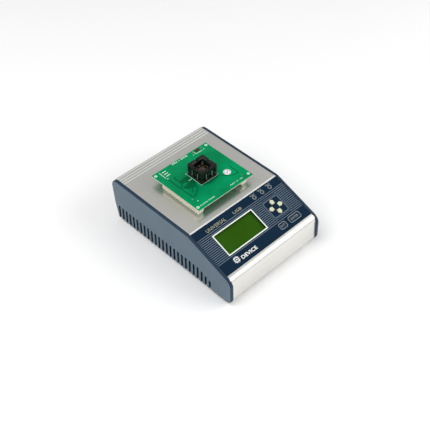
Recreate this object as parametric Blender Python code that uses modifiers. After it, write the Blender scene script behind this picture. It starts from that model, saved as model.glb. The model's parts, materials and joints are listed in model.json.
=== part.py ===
"""A bench universal device programmer with a plug-in socket adapter.

Two moulded end cheeks close an extruded aluminium body. The body's flat top holds two
receptacles, its slope holds a membrane panel with a display and keys, and its front rolls down
into a fascia. A socket adapter board plugs into the top and carries a press-to-open test socket.

Frame: +X to the right, +Y to the rear, +Z up. The origin is the middle of the footprint, on the
plane that the feet stand on. Everything is in metres; MM turns millimetres into metres.
"""

import math

import bmesh
import bpy
from mathutils import Matrix, Vector

MM = 0.001

# Clearances
GAP = 0.3 * MM  # between pieces that touch or rest on each other
SKIN_GAP = 0.1 * MM  # under a label

# Body
BODY_HALF = 98.0 * MM  # half the width of the aluminium extrusion
TOP_Z = 87.0 * MM
UNDER_Z = 4.6 * MM
REAR_Y = 136.6 * MM
KINK_Y = -45.3 * MM  # where the flat top turns into the slope
PANEL_ANGLE = math.radians(20.07)
PANEL_LENGTH = 88.2 * MM
FRONT_FLAT = 2.8 * MM  # bare metal on the slope, before the front roll
FRONT_RADIUS = 12.0 * MM
FRONT_LEAN = math.radians(3.0)  # the fascia leans forward as it goes down
TOE_RADIUS = 8.0 * MM
TOE_LIP_Y = -121.0 * MM  # rear end of the lip under the fascia
REAR_FLANGE = 12.0 * MM
WALL = 2.4 * MM
TRAY_DEPTH = 0.8 * MM  # the slope is sunk to take the membrane
KINK_LIP = 0.2 * MM  # bare metal above the membrane
GROOVE_WIDTH = 1.0 * MM
GROOVE_DEPTH = 0.5 * MM
GROOVE_YS = [116.2 * MM, 121.7 * MM, 127.3 * MM, 132.9 * MM]

# End cheeks
CHEEK_X = BODY_HALF + GAP
CHEEK_THICK = 5.2 * MM
CHEEK_PROUD = 0.8 * MM  # above the body's top and slope
CHEEK_FRONT_Y = -143.0 * MM
CHEEK_REAR = [(144.2 * MM, 15 * MM), (139.2 * MM, 25 * MM), (131.9 * MM, 2 * MM)]  # (y, radius) going down
CHEEK_REAR_BEND_Z = 34.0 * MM
CHEEK_UNDER_Z = 3.0 * MM
CHEEK_RIM = 2.2 * MM  # radius of the outer rim
VENT_COUNT = 25
VENT_PITCH = 9.25 * MM
VENT_FIRST_Y = 127.3 * MM
VENT_WIDTH = 4.6 * MM
VENT_TOP_Z = 33.0 * MM
VENT_LEVEL_COUNT = 22  # the rest get shorter, parallel to the slope
VENT_CROWN = 0.003 * MM  # the level row is very slightly higher in its middle
RECESS_DEPTH = 2.6 * MM  # hollow behind the vents
RECESS_DROP = 4.5 * MM  # the hollow starts this far under the vents' tops

# Sheet and boards
SHEET = 1.5 * MM
BOARD = 1.6 * MM
BASE_HALF = 97.4 * MM
BASE_FRONT_Y = TOE_LIP_Y + 0.5 * MM
REAR_PANEL_Y = 132.3 * MM
BASE_REAR_Y = REAR_PANEL_Y - GAP
FOOT_X = 80.0 * MM
FOOT_YS = [-101.0 * MM, 105.0 * MM]

# Membrane panel: x across, s down the slope from the kink
LCD_X = (-71.0 * MM, 17.2 * MM)
LCD_S = (22.0 * MM, 64.4 * MM)
LCD_BAND = 2.4 * MM
LCD_RECESS = 4.0 * MM
LCD_GLASS_THICK = 2.8 * MM
PAD_X = 56.1 * MM
PAD_S = 43.0 * MM
ARROW_BASE = 5.6 * MM  # from the pad's centre to the flat end of an arrow key
ARROW_TIP = 15.4 * MM
ARROW_SHOULDER = 11.4 * MM
ARROW_HALF = 4.2 * MM
ARROW_TAIL_HALF = 3.5 * MM
KEY_S = 75.6 * MM
KEY_HALF_S = 6.0 * MM
EXIT_X = (33.0 * MM, 49.4 * MM)
ENTER_X = (55.8 * MM, 82.0 * MM)
KEY_RADIUS = 3.6 * MM
KEY_PROUD = 0.1 * MM
ARROW_PROUD = 0.6 * MM
KEY_FLANGE = 0.8 * MM
LED_XS = [37.4 * MM, 55.9 * MM, 74.0 * MM]
LED_S = 9.6 * MM
LED_RADIUS = 1.75 * MM

# Plug-in adapter
ADAPTER_HALF = 61.6 * MM
ADAPTER_YS = (-27.8 * MM, 86.5 * MM)
ADAPTER_TOP_Z = 102.0 * MM
ADAPTER_HOLE_X = 57.3 * MM
ADAPTER_HOLE_YS = (-20.7 * MM, 80.7 * MM)
PLUG_WIDTH = 12.0 * MM
PLUG_YS = (-24.8 * MM, 60.2 * MM)
PLUG_XS = {"left": -55.0 * MM, "right": 42.6 * MM}
RECEPTACLE_WIDTH = 9.0 * MM
RECEPTACLE_TOP_Z = TOP_Z + 4.6 * MM
TONGUE_WIDTH = 2.8 * MM
TONGUE_END = 3.5 * MM
TONGUE_LENGTH = 7.0 * MM
ID_CHIP = (32.0 * MM, 41.0 * MM, 77.9 * MM, 83.1 * MM)  # x and y spans
ID_CHIP_THICK = 2.2 * MM
LABEL_AT = (34.5 * MM, 6.5 * MM)
LABEL_RADIUS = 6.6 * MM
LABEL_THICK = 0.25 * MM

# Test socket, measured from the adapter's top face
SOCKET_X = 1.0 * MM
SOCKET_Y = 30.8 * MM
SOCKET_HALF = 17.4 * MM
SOCKET_HEIGHT = 22.7 * MM
WINDOW_HALF = 11.4 * MM
FLANGE_TOP = 4.6 * MM
BODY_TOP = 11.0 * MM
SOCKET_BODY_HALF = 14.8 * MM
WELL_HALF = 13.0 * MM
WELL_FLOOR = 2.2 * MM
SKIRT_BOTTOM = 9.2 * MM
SKIRT_INNER = 15.6 * MM
FRAME_BOTTOM = 17.5 * MM
SLOT_SPAN = (4.6 * MM, 8.2 * MM)  # across the skirt, to either side of its middle
SLOT_TOP = 19.6 * MM
RIM_NOTCH_HALF = 2.0 * MM
RIM_NOTCH_FLOOR = 20.8 * MM
SPRING_AT = 13.2 * MM
SPRING_RADIUS = 1.5 * MM
SPRING_TURNS = 5
CONTACT_AT = 11.2 * MM
CONTACT_THICK = 0.6 * MM
CONTACT_HALF = 8.2 * MM
CONTACT_TOP = 11.8 * MM
CONTACT_HOOK = 2.4 * MM
CONTACT_TEETH = 8
CONTACT_PIVOT_Z = 3.0 * MM

# Inside and rear
DRIVER_SPAN = (-66.0 * MM, 66.0 * MM, -33.0 * MM, 87.0 * MM)  # x and y
DRIVER_TOP_Z = 71.6 * MM
MAIN_SPAN = (-88.0 * MM, 88.0 * MM, -108.0 * MM, 124.0 * MM)
MAIN_TOP_Z = 13.6 * MM
LOGIC_SPAN = (-40.0 * MM, -12.0 * MM, -73.0 * MM, -45.0 * MM)
LOGIC_THICK = 3.0 * MM
KEYPAD_SPAN = (27.0 * MM, 90.0 * MM, -86.0 * MM, -4.0 * MM)  # in panel axes
KEYPAD_TOP = -8.2 * MM
RIBBON_START_S = 46.0 * MM
RIBBON_END_Y = -87.0 * MM
RIBBON_WIDTH = 14.0 * MM
RIBBON_THICK = 0.5 * MM
RIBBON_X = 50.0 * MM
BASE_SLOTS = 8
BASE_SLOT_YS = (75.0 * MM, 109.0 * MM)
REAR_SLOTS = 9
REAR_SLOT_ZS = (34.0 * MM, 64.0 * MM)
SINK_REAR_Y = 107.0 * MM
SINK_LENGTH = 40.0 * MM
INLET_FRONT_Y = 117.0 * MM
INLET_TOP_Z = 25.0 * MM
JACK_HALF = 5.0 * MM
USB_HALF = 6.1 * MM
STANDOFF_XS = (-60.0 * MM, 60.0 * MM)
STANDOFF_YS = (-27.0 * MM, 81.0 * MM)
JACK_X = -48.0 * MM
USB_X = -20.0 * MM
ROCKER_X = -76.0 * MM
ROCKER_Z = 30.0 * MM
ROCKER_BEZEL = (11.0 * MM, 8.0 * MM)  # half across and half up
ROCKER_BODY = (9.4 * MM, 6.4 * MM)
ROCKER_POCKET = (8.3 * MM, 5.2 * MM)
ROCKER_BODY_Y = 113.0 * MM
ROCKER_POCKET_Y = 119.0 * MM
ROCKER_TILT = math.radians(9.0)  # off is this far one way from level, on as far the other
REAR_FACE_Y = REAR_PANEL_Y + SHEET + 0.6 * MM  # where the rear connectors end

PI_HALF = math.pi / 2
ALONG_X = (PI_HALF, 0.0, PI_HALF)  # an outline in (Y, Z), extruded along +X
ALONG_Y = (PI_HALF, 0.0, 0.0)  # an outline in (X, Z), extruded along -Y
OUTLINE_SCALE = 1000.0  # the 2D fill joins points closer than 0.03 units, so it works in mm


# ------------------------------------------------------------------ scene and materials


def start_scene():
    """Empties the scene and makes the two collections."""
    for obj in list(bpy.data.objects):
        bpy.data.objects.remove(obj, do_unlink=True)
    made = []
    for name in ("universal_programmer", "cutters"):
        collection = bpy.data.collections.new(name)
        bpy.context.scene.collection.children.link(collection)
        made.append(collection)
    return made


PARTS, CUTTERS = start_scene()


def material(name, colour, roughness, metallic=0.0):
    made = bpy.data.materials.new(name)
    made.use_nodes = True
    shader = made.node_tree.nodes["Principled BSDF"]
    shader.inputs["Base Color"].default_value = (*colour, 1.0)
    shader.inputs["Roughness"].default_value = roughness
    shader.inputs["Metallic"].default_value = metallic
    return made


CHEEK_PLASTIC = material("cheek_plastic", (0.115, 0.155, 0.195), 0.45)
ALUMINIUM = material("brushed_aluminium", (0.62, 0.60, 0.56), 0.34, 1.0)
STEEL = material("zinc_steel", (0.48, 0.48, 0.47), 0.4, 1.0)
RUBBER = material("rubber", (0.02, 0.02, 0.02), 0.8)
MEMBRANE = material("membrane", (0.010, 0.022, 0.060), 0.35)
BEZEL_WHITE = material("bezel_white", (0.80, 0.86, 0.78), 0.4)
DISPLAY_GREEN = material("display_green", (0.025, 0.125, 0.010), 0.15)
KEY_CREAM = material("key_cream", (0.86, 0.86, 0.62), 0.4)
LED_SMOKE = material("led_smoke", (0.02, 0.02, 0.02), 0.15)
PCB_GREEN = material("pcb_green", (0.0, 0.285, 0.105), 0.35)
IVORY = material("ivory_plastic", (0.72, 0.66, 0.52), 0.5)
SOCKET_BLACK = material("socket_black", (0.012, 0.014, 0.014), 0.45)
GOLD = material("gold_contact", (0.80, 0.55, 0.18), 0.3, 1.0)
LABEL_WHITE = material("label_white", (0.85, 0.88, 0.86), 0.5)
RECEPTACLE_GREY = material("receptacle_grey", (0.40, 0.46, 0.38), 0.5)
BLACK_PLASTIC = material("black_plastic", (0.015, 0.015, 0.016), 0.4)
RIBBON_GREY = material("ribbon_grey", (0.45, 0.45, 0.43), 0.5)


def empty(name, location, rotation=(0.0, 0.0, 0.0), parent=None):
    """A named place to hang pieces on; it isn't a piece itself."""
    made = bpy.data.objects.new(name, None)
    made.empty_display_size = 5 * MM
    made.location = location
    made.rotation_euler = rotation
    made.parent = parent
    PARTS.objects.link(made)
    return made


PANEL = empty("panel_frame", (0.0, KINK_Y, TOP_Z), (PANEL_ANGLE, 0.0, 0.0))
ADAPTER = empty("adapter_frame", (0.0, 0.0, ADAPTER_TOP_Z))
SOCKET = empty("socket_frame", (SOCKET_X, SOCKET_Y, 0.0), parent=ADAPTER)


def piece(name, mesh, mat, location=(0.0, 0.0, 0.0), rotation=(0.0, 0.0, 0.0), parent=None):
    """A part: one named object with its own material."""
    made = bpy.data.objects.new(name, mesh)
    if not mesh.materials:
        mesh.materials.append(mat)
    made.location = location
    made.rotation_euler = rotation
    made.parent = parent
    PARTS.objects.link(made)
    return made


def cutter(mesh, location=(0.0, 0.0, 0.0), rotation=(0.0, 0.0, 0.0), parent=None):
    made = bpy.data.objects.new("cutter", mesh)
    made.location = location
    made.rotation_euler = rotation
    made.parent = parent
    made.hide_render = True
    made.display_type = "WIRE"
    CUTTERS.objects.link(made)
    return made


def cut(target, tool, operation="DIFFERENCE"):
    modifier = target.modifiers.new("cut", "BOOLEAN")
    modifier.operation = operation
    modifier.solver = "EXACT"
    modifier.object = tool


# ------------------------------------------------------------------ shapes


def mesh_of(bm, name="mesh", smooth=False):
    """Closes a bmesh into a mesh datablock with its faces pointing out."""
    bmesh.ops.recalc_face_normals(bm, faces=bm.faces)
    mesh = bpy.data.meshes.new(name)
    bm.to_mesh(mesh)
    bm.free()
    if smooth:
        mesh.shade_smooth()
        mesh.set_sharp_from_angle(angle=math.radians(35))
    return mesh


def rounded(corners, steps=5, closed=True):
    """Turns (x, y, radius) corners into outline points, each corner an arc."""
    outline = []
    count = len(corners)
    for i, (x, y, radius) in enumerate(corners):
        here = Vector((x, y))
        at_end = not closed and i in (0, count - 1)
        if radius <= 0.0 or at_end:
            outline.append((x, y))
            continue
        before = (Vector(corners[i - 1][:2]) - here).normalized()
        after = (Vector(corners[(i + 1) % count][:2]) - here).normalized()
        half = before.angle(after) / 2
        centre = here + (before + after).normalized() * (radius / math.sin(half))
        reach = radius / math.tan(half)
        start = here + before * reach - centre
        end = here + after * reach - centre
        first = math.atan2(start.y, start.x)
        turn = (math.atan2(end.y, end.x) - first + math.pi) % (2 * math.pi) - math.pi
        for k in range(steps + 1):
            angle = first + turn * k / steps
            outline.append((centre.x + radius * math.cos(angle), centre.y + radius * math.sin(angle)))
    return outline


def shifted(corners, distance):
    """Moves an open path of (x, y, radius) corners to its left, and tightens its radii to match."""
    points = [Vector(corner[:2]) for corner in corners]
    moved = []
    for i, point in enumerate(points):
        ahead = (points[i + 1] - point).normalized() if i + 1 < len(points) else None
        behind = (point - points[i - 1]).normalized() if i else ahead
        ahead = ahead or behind
        left = Vector((-(ahead + behind).y, (ahead + behind).x)).normalized()
        stretch = distance / left.dot(Vector((-ahead.y, ahead.x)))
        place = point + left * stretch
        moved.append((place.x, place.y, max(corners[i][2] - distance, 0.0)))
    return moved


def rectangle(x0, x1, y0, y1, radius=0.0, steps=3):
    return rounded([(x0, y0, radius), (x1, y0, radius), (x1, y1, radius), (x0, y1, radius)], steps)


def circle(x, y, radius, sides=16):
    turn = 2 * math.pi / sides
    return [(x + radius * math.cos(turn * k), y + radius * math.sin(turn * k)) for k in range(sides)]


def extruded(rings, depth, start=0.0):
    """A bmesh of flat outlines (rings inside others are holes), extruded along local Z."""
    curve = bpy.data.curves.new("outline", "CURVE")
    curve.dimensions = "2D"
    curve.fill_mode = "BOTH"
    curve.extrude = depth / 2 * OUTLINE_SCALE
    for ring in rings:
        spline = curve.splines.new("POLY")
        spline.points.add(len(ring) - 1)
        spline.use_cyclic_u = True
        for point, (x, y) in zip(spline.points, ring):
            point.co = (x * OUTLINE_SCALE, y * OUTLINE_SCALE, 0.0, 1.0)
    holder = bpy.data.objects.new("outline", curve)
    CUTTERS.objects.link(holder)
    filled = bpy.data.meshes.new_from_object(holder.evaluated_get(bpy.context.evaluated_depsgraph_get()))
    bm = bmesh.new()
    bm.from_mesh(filled)
    bmesh.ops.remove_doubles(bm, verts=bm.verts, dist=0.001)
    bmesh.ops.scale(bm, vec=Vector((1, 1, 1)) / OUTLINE_SCALE, verts=bm.verts)
    bmesh.ops.translate(bm, vec=(0.0, 0.0, start + depth / 2), verts=bm.verts)
    bpy.data.objects.remove(holder, do_unlink=True)
    bpy.data.curves.remove(curve)
    bpy.data.meshes.remove(filled)
    return bm


def slab(rings, depth, start=0.0):
    return mesh_of(extruded(rings, depth, start), "slab")


def boxes(corner_pairs):
    """One mesh of separate boxes, each given by its low and high corners."""
    bm = bmesh.new()
    for low, high in corner_pairs:
        size = [b - a for a, b in zip(low, high)]
        middle = [(a + b) / 2 for a, b in zip(low, high)]
        place = Matrix.Translation(middle) @ Matrix.Diagonal((*size, 1.0))
        bmesh.ops.create_cube(bm, size=1.0, matrix=place)
    return mesh_of(bm, "boxes")


def box(low, high):
    return boxes([(low, high)])


def turned(name, profile, mat, steps=12, closed=False, **place):
    """A turned piece: a (radius, z) profile, listed from the top down its outer side."""
    bm = bmesh.new()
    points = [bm.verts.new((radius, 0.0, z)) for radius, z in profile]
    for a, b in zip(points, points[1:]):
        bm.edges.new((a, b))
    if closed:
        bm.edges.new((points[-1], points[0]))
    mesh = bpy.data.meshes.new(name)
    bm.to_mesh(mesh)
    bm.free()
    made = piece(name, mesh, mat, **place)
    screw = made.modifiers.new("turn", "SCREW")
    screw.steps = steps
    screw.render_steps = steps
    screw.use_merge_vertices = True
    screw.merge_threshold = 0.000001
    screw.use_smooth_shade = True
    return made


def applied(obj):
    """The evaluated mesh of an object, as a datablock that several pieces can share."""
    evaluated = obj.evaluated_get(bpy.context.evaluated_depsgraph_get())
    mesh = bpy.data.meshes.new_from_object(evaluated)
    bpy.data.objects.remove(obj, do_unlink=True)
    return mesh


# ------------------------------------------------------------------ body


def down_panel(s, height=0.0):
    """The (y, z) of a point s down the slope and height above it."""
    y = KINK_Y - s * math.cos(PANEL_ANGLE) - height * math.sin(PANEL_ANGLE)
    z = TOP_Z - s * math.sin(PANEL_ANGLE) + height * math.cos(PANEL_ANGLE)
    return y, z


def body_path():
    """The extrusion's outer path in (y, z), from the rear flange over the top to the toe."""
    turn = PI_HALF - PANEL_ANGLE - FRONT_LEAN
    brow_s = PANEL_LENGTH + FRONT_FLAT + FRONT_RADIUS * math.tan(turn / 2)
    brow = down_panel(brow_s)
    toe_y = brow[0] - (brow[1] - UNDER_Z) * math.tan(FRONT_LEAN)
    return [
        (REAR_Y, TOP_Z - REAR_FLANGE, 0.0),
        (REAR_Y, TOP_Z, 1.2 * MM),
        (KINK_Y, TOP_Z, 0.0),
        (*brow, FRONT_RADIUS),
        (toe_y, UNDER_Z, TOE_RADIUS),
        (TOE_LIP_Y, UNDER_Z, 0.0),
    ]


def arrow_outline(angle, grow=0.0):
    """An arrow key's outline about the pad's centre, in panel axes, turned by angle."""
    tail, half = ARROW_TAIL_HALF + grow, ARROW_HALF + grow
    points = [
        (-tail, ARROW_BASE - grow),
        (tail, ARROW_BASE - grow),
        (half, ARROW_SHOULDER + grow * 0.4),
        (0.0, ARROW_TIP + grow * 1.4),
        (-half, ARROW_SHOULDER + grow * 0.4),
    ]
    c, s = math.cos(angle), math.sin(angle)
    return [(PAD_X + x * c - y * s, -PAD_S + x * s + y * c) for x, y in points]


ARROWS = {"up": 0.0, "left": PI_HALF, "down": math.pi, "right": -PI_HALF}


def key_outline(span, grow=0.0):
    radius = KEY_RADIUS + grow
    low, high = -KEY_S - KEY_HALF_S - grow, -KEY_S + KEY_HALF_S + grow
    return rectangle(span[0] - grow, span[1] + grow, low, high, radius)


def panel_holes(clear):
    """The openings through the slope, in panel axes, each larger than its piece by clear."""
    rings = [rectangle(LCD_X[0] - clear, LCD_X[1] + clear, -LCD_S[1] - clear, -LCD_S[0] + clear)]
    rings += [arrow_outline(angle, clear) for angle in ARROWS.values()]
    rings += [key_outline(EXIT_X, clear), key_outline(ENTER_X, clear)]
    rings += [circle(x, -LED_S, LED_RADIUS + clear, 12) for x in LED_XS]
    return rings


def make_top_cover():
    path = body_path()
    outer = rounded(path, closed=False)
    inner = rounded(shifted(path, WALL), closed=False)
    section = outer + inner[::-1]
    cover = piece(
        "top_cover", slab([section], 2 * BODY_HALF), ALUMINIUM, (-BODY_HALF, 0.0, 0.0), ALONG_X
    )
    over = BODY_HALF + 1 * MM
    tray = box((-over, -PANEL_LENGTH, -TRAY_DEPTH), (over, -KINK_LIP, 3 * MM))
    cut(cover, cutter(tray, parent=PANEL))
    cut(cover, cutter(slab(panel_holes(GAP), 8 * MM, -6 * MM), parent=PANEL))
    grooves = []
    for y in GROOVE_YS:
        low = (-over, y - GROOVE_WIDTH / 2, TOP_Z - GROOVE_DEPTH)
        grooves.append((low, (over, y + GROOVE_WIDTH / 2, TOP_Z + 1 * MM)))
    for x in PLUG_XS.values():
        half = RECEPTACLE_WIDTH / 2 + GAP
        low = (x - half, PLUG_YS[0] - GAP, TOP_Z - 2 * WALL)
        grooves.append((low, (x + half, PLUG_YS[1] + GAP, TOP_Z + 1 * MM)))
    cut(cover, cutter(boxes(grooves)))


def vent_top(index):
    """Height of a vent's rounded top; the front vents follow the slope down."""
    from_middle = min(index, VENT_LEVEL_COUNT - 1) - VENT_LEVEL_COUNT / 2
    steps_down = max(index + 1 - VENT_LEVEL_COUNT, 0)
    return VENT_TOP_Z - VENT_CROWN * from_middle**2 - steps_down * VENT_PITCH * math.tan(PANEL_ANGLE)


def vent_outline(index):
    """One vent slot as outline points, going up its rear side and down its front side."""
    y = VENT_FIRST_Y - index * VENT_PITCH
    radius = VENT_WIDTH / 2
    top = vent_top(index) - radius
    arch = [
        (y + radius * math.cos(math.pi * k / 4), top + radius * math.sin(math.pi * k / 4))
        for k in range(5)
    ]
    return [(y + radius, CHEEK_UNDER_Z), *arch, (y - radius, CHEEK_UNDER_Z)]


def cheek_outline():
    """The cheek's side view in (y, z): a comb of vents along its lower edge."""
    top = TOP_Z + CHEEK_PROUD
    kink = (KINK_Y, top)
    drop = math.tan(PANEL_ANGLE)
    front_y = CHEEK_FRONT_Y + 1.6 * MM
    rim = [
        (CHEEK_FRONT_Y, CHEEK_UNDER_Z, 12 * MM),
        (front_y, top - (kink[0] - front_y) * drop, 17 * MM),
        (*kink, 24 * MM),
    ]
    heights = (top, CHEEK_REAR_BEND_Z, CHEEK_UNDER_Z)
    rim += [(y, z, radius) for (y, radius), z in zip(CHEEK_REAR, heights)]
    outline = rounded(rim, 5)
    for index in range(VENT_COUNT):
        outline += vent_outline(index)
    return outline


def recess_outline():
    """The hollow behind the vents: it lets them open into the case."""
    last = VENT_FIRST_Y - (VENT_COUNT - 1) * VENT_PITCH
    level = VENT_FIRST_Y - (VENT_LEVEL_COUNT - 1) * VENT_PITCH
    side = VENT_WIDTH / 2 + 0.8 * MM
    top = VENT_TOP_Z - RECESS_DROP
    return [
        (last - side, CHEEK_UNDER_Z + 3 * MM),
        (VENT_FIRST_Y + side, CHEEK_UNDER_Z + 3 * MM),
        (VENT_FIRST_Y + side, top),
        (level, top),
        (last - side, vent_top(VENT_COUNT - 1) - RECESS_DROP),
    ]


def is_rim_edge(edge):
    """True on the outer face's edge, but not on the sides or tops of the vents."""
    if any(abs(vert.co.z - CHEEK_THICK) > 0.01 * MM for vert in edge.verts) or len(edge.link_faces) != 2:
        return False
    if all(abs(face.normal.z) > 0.9 for face in edge.link_faces):
        return False
    low = [abs(vert.co.y - CHEEK_UNDER_Z) < 0.01 * MM for vert in edge.verts]
    front = VENT_FIRST_Y - (VENT_COUNT - 0.5) * VENT_PITCH
    in_comb = all(front < vert.co.x < VENT_FIRST_Y + VENT_PITCH / 2 for vert in edge.verts)
    under_vent_line = all(vert.co.y < VENT_TOP_Z + 1 * MM for vert in edge.verts)
    return all(low) or not (in_comb and under_vent_line)


def make_cheeks():
    for name, side in (("right_cheek", 1), ("left_cheek", -1)):
        bm = extruded([cheek_outline()], CHEEK_THICK)
        bmesh.ops.dissolve_limit(bm, angle_limit=0.01, verts=bm.verts, edges=bm.edges)
        rim = [edge for edge in bm.edges if is_rim_edge(edge)]
        bmesh.ops.bevel(
            bm, geom=rim, offset=CHEEK_RIM, segments=3, profile=0.5, affect="EDGES", clamp_overlap=False
        )
        bmesh.ops.scale(bm, vec=(1, 1, side), verts=bm.verts)
        cheek = piece(name, mesh_of(bm, name, smooth=True), CHEEK_PLASTIC, (side * CHEEK_X, 0, 0), ALONG_X)
        recess = slab([recess_outline()], RECESS_DEPTH + 1 * MM, -1 * MM)
        if side < 0:
            recess.transform(Matrix.Scale(-1, 4, (0, 0, 1)))
            recess.flip_normals()
        cut(cheek, cutter(recess, (side * CHEEK_X, 0, 0), ALONG_X))


def make_base_plate():
    holes = [circle(side * FOOT_X, y, 1.9 * MM, 10) for side in (-1, 1) for y in FOOT_YS]
    for k in range(BASE_SLOTS):
        x = (k - (BASE_SLOTS - 1) / 2) * 14 * MM
        holes.append(rectangle(x - 2 * MM, x + 2 * MM, *BASE_SLOT_YS))
    rings = [rectangle(-BASE_HALF, BASE_HALF, BASE_FRONT_Y, BASE_REAR_Y, 2 * MM), *holes]
    piece("base_plate", slab(rings, SHEET, UNDER_Z), STEEL)


def make_feet():
    top = UNDER_Z - GAP
    foot = [(4.2, 0.0), (7.4, 0.0), (8.0, 0.6), (8.0, top / MM), (1.9, top / MM), (1.9, 2.2), (4.2, 2.2)]
    foot = [(r * MM, z * MM) for r, z in reversed(foot)]
    shank = 10.0
    screw = [(0.0, shank), (1.5, shank), (1.5, 1.9), (3.4, 1.9), (3.4, 1.1), (2.6, 0.5), (0.0, 0.5)]
    screw = [(r * MM, z * MM) for r, z in screw]
    drive = boxes([((-2.0 * MM, -0.4 * MM, 0.0), (2.0 * MM, 0.4 * MM, 1.3 * MM))])
    number = 0
    for y in FOOT_YS:
        for side in (-1, 1):
            number += 1
            place = (side * FOOT_X, y, 0.0)
            turned(f"foot_{number}", foot, RUBBER, 16, True, location=place)
            made = turned(f"foot_screw_{number}", screw, STEEL, 12, location=place)
            cut(made, cutter(drive, place))


def make_rear_panel():
    """Stands behind the top cover's flange, with openings for the rear fittings and air."""
    low, high = UNDER_Z + SHEET + GAP, TOP_Z - WALL - GAP
    rings = [rectangle(-BASE_HALF, BASE_HALF, low, high)]
    for x, half in ((JACK_X, JACK_HALF + GAP), (USB_X, USB_HALF + GAP)):
        rings.append(rectangle(x - half, x + half, MAIN_TOP_Z - 0.1 * MM, INLET_TOP_Z + GAP))
    across, up = (half + 0.4 * MM for half in ROCKER_BODY)
    rings.append(rectangle(ROCKER_X - across, ROCKER_X + across, ROCKER_Z - up, ROCKER_Z + up))
    for k in range(REAR_SLOTS):
        x = (18 + 8 * k) * MM
        rings.append(rectangle(x - 1.5 * MM, x + 1.5 * MM, *REAR_SLOT_ZS, 1.4 * MM, 2))
    piece("rear_panel", slab(rings, SHEET), ALUMINIUM, (0.0, REAR_PANEL_Y + SHEET, 0.0), ALONG_Y)


# ------------------------------------------------------------------ panel fittings


def make_panel():
    """The membrane and what shows through it, all hung on the slope's frame."""
    edge = BODY_HALF - 0.5 * MM
    sheet = [rectangle(-edge, edge, -PANEL_LENGTH + GAP, -KINK_LIP - GAP), *panel_holes(GAP)]
    piece("panel_overlay", slab(sheet, 0.4 * MM, -TRAY_DEPTH + SKIN_GAP), MEMBRANE, parent=PANEL)
    frame = rectangle(*LCD_X, -LCD_S[1], -LCD_S[0], 0.8 * MM, 2)
    inner = rectangle(
        LCD_X[0] + LCD_BAND, LCD_X[1] - LCD_BAND, -LCD_S[1] + LCD_BAND, -LCD_S[0] - LCD_BAND, 0.5 * MM, 2
    )
    bezel = slab([frame, inner], LCD_RECESS + 0.2 * MM, GAP - LCD_RECESS)
    piece("lcd_bezel", bezel, BEZEL_WHITE, parent=PANEL)
    tight = 0.5 * MM
    glass = rectangle(LCD_X[0] + tight, LCD_X[1] - tight, -LCD_S[1] + tight, -LCD_S[0] - tight)
    glass_low = -LCD_RECESS - LCD_GLASS_THICK
    piece("lcd_glass", slab([glass], LCD_GLASS_THICK, glass_low), DISPLAY_GREEN, parent=PANEL)
    board = rectangle(LCD_X[0] - 3 * MM, LCD_X[1] + 3 * MM, -LCD_S[1] - 7 * MM, -LCD_S[0] + 7 * MM)
    piece("lcd_board", slab([board], BOARD, glass_low - GAP - BOARD), PCB_GREEN, parent=PANEL)


def make_key(name, outline, flange_outline, proud, mat):
    """A key: its cap passes through the slope, and a flange under the sheet keeps it in."""
    low = -WALL - GAP - KEY_FLANGE
    key = piece(name, slab([outline], proud - low, low), mat, parent=PANEL)
    flange = slab([flange_outline], KEY_FLANGE - 0.02 * MM, low + 0.01 * MM)
    cut(key, cutter(flange, parent=PANEL), "UNION")


def make_keys():
    for name, angle in ARROWS.items():
        make_key(f"key_{name}", arrow_outline(angle), arrow_outline(angle, 0.7 * MM), ARROW_PROUD, KEY_CREAM)
    for name, span in (("exit", EXIT_X), ("enter", ENTER_X)):
        make_key(f"key_{name}", key_outline(span), key_outline(span, 0.8 * MM), KEY_PROUD, MEMBRANE)


def make_keypad_board():
    """One board under all six keys, with their switches and the three indicators on it."""
    top = KEYPAD_TOP
    plate = rectangle(*KEYPAD_SPAN)
    board = piece("keypad_board", slab([plate], BOARD, top - BOARD), PCB_GREEN, parent=PANEL)
    reach = (ARROW_BASE + ARROW_TIP) / 2
    centres = [
        (PAD_X - math.sin(angle) * reach, -PAD_S + math.cos(angle) * reach) for angle in ARROWS.values()
    ]
    centres += [((span[0] + span[1]) / 2, -KEY_S) for span in (EXIT_X, ENTER_X)]
    bodies = [rectangle(x - 3 * MM, x + 3 * MM, y - 3 * MM, y + 3 * MM) for x, y in centres]
    cut(board, cutter(slab(bodies, 3.2 * MM, top - 0.2 * MM), parent=PANEL), "UNION")
    buttons = [circle(x, y, 1.5 * MM, 8) for x, y in centres]
    cut(board, cutter(slab(buttons, 1.0 * MM, top + 2.8 * MM), parent=PANEL), "UNION")
    foot = top + SKIN_GAP
    lens = [(0.0, -0.15), (1.1, -0.25), (1.65, -0.6), (1.65, -3.2), (2.4, -3.2)]
    lens = [(r * MM, z * MM) for r, z in lens] + [(2.4 * MM, foot), (0.0, foot)]
    for number, x in enumerate(LED_XS, 1):
        turned(f"status_led_{number}", lens, LED_SMOKE, 10, location=(x, -LED_S, 0.0), parent=PANEL)


def make_ribbon():
    """A flat ribbon from the keypad board down to the main board, in one smooth S."""
    start = Vector(down_panel(RIBBON_START_S, KEYPAD_TOP - BOARD - 0.4 * MM))
    end = Vector((RIBBON_END_Y, MAIN_TOP_Z + GAP))
    bend = 18 * MM
    controls = [start, start + Vector((4 * MM, -bend)), end + Vector((-6 * MM, bend)), end]
    path = []
    for k in range(9):
        t = k / 8
        weights = ((1 - t) ** 3, 3 * t * (1 - t) ** 2, 3 * t * t * (1 - t), t**3)
        point = sum((c * w for c, w in zip(controls, weights)), Vector((0.0, 0.0)))
        path.append((point.x, point.y, 0.0))
    strip = path + shifted(path, RIBBON_THICK)[::-1]
    strip = [(y, z) for y, z, _ in strip]
    piece("panel_ribbon", slab([strip], RIBBON_WIDTH), RIBBON_GREY, (RIBBON_X, 0.0, 0.0), ALONG_X)


# ------------------------------------------------------------------ adapter and socket


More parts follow.
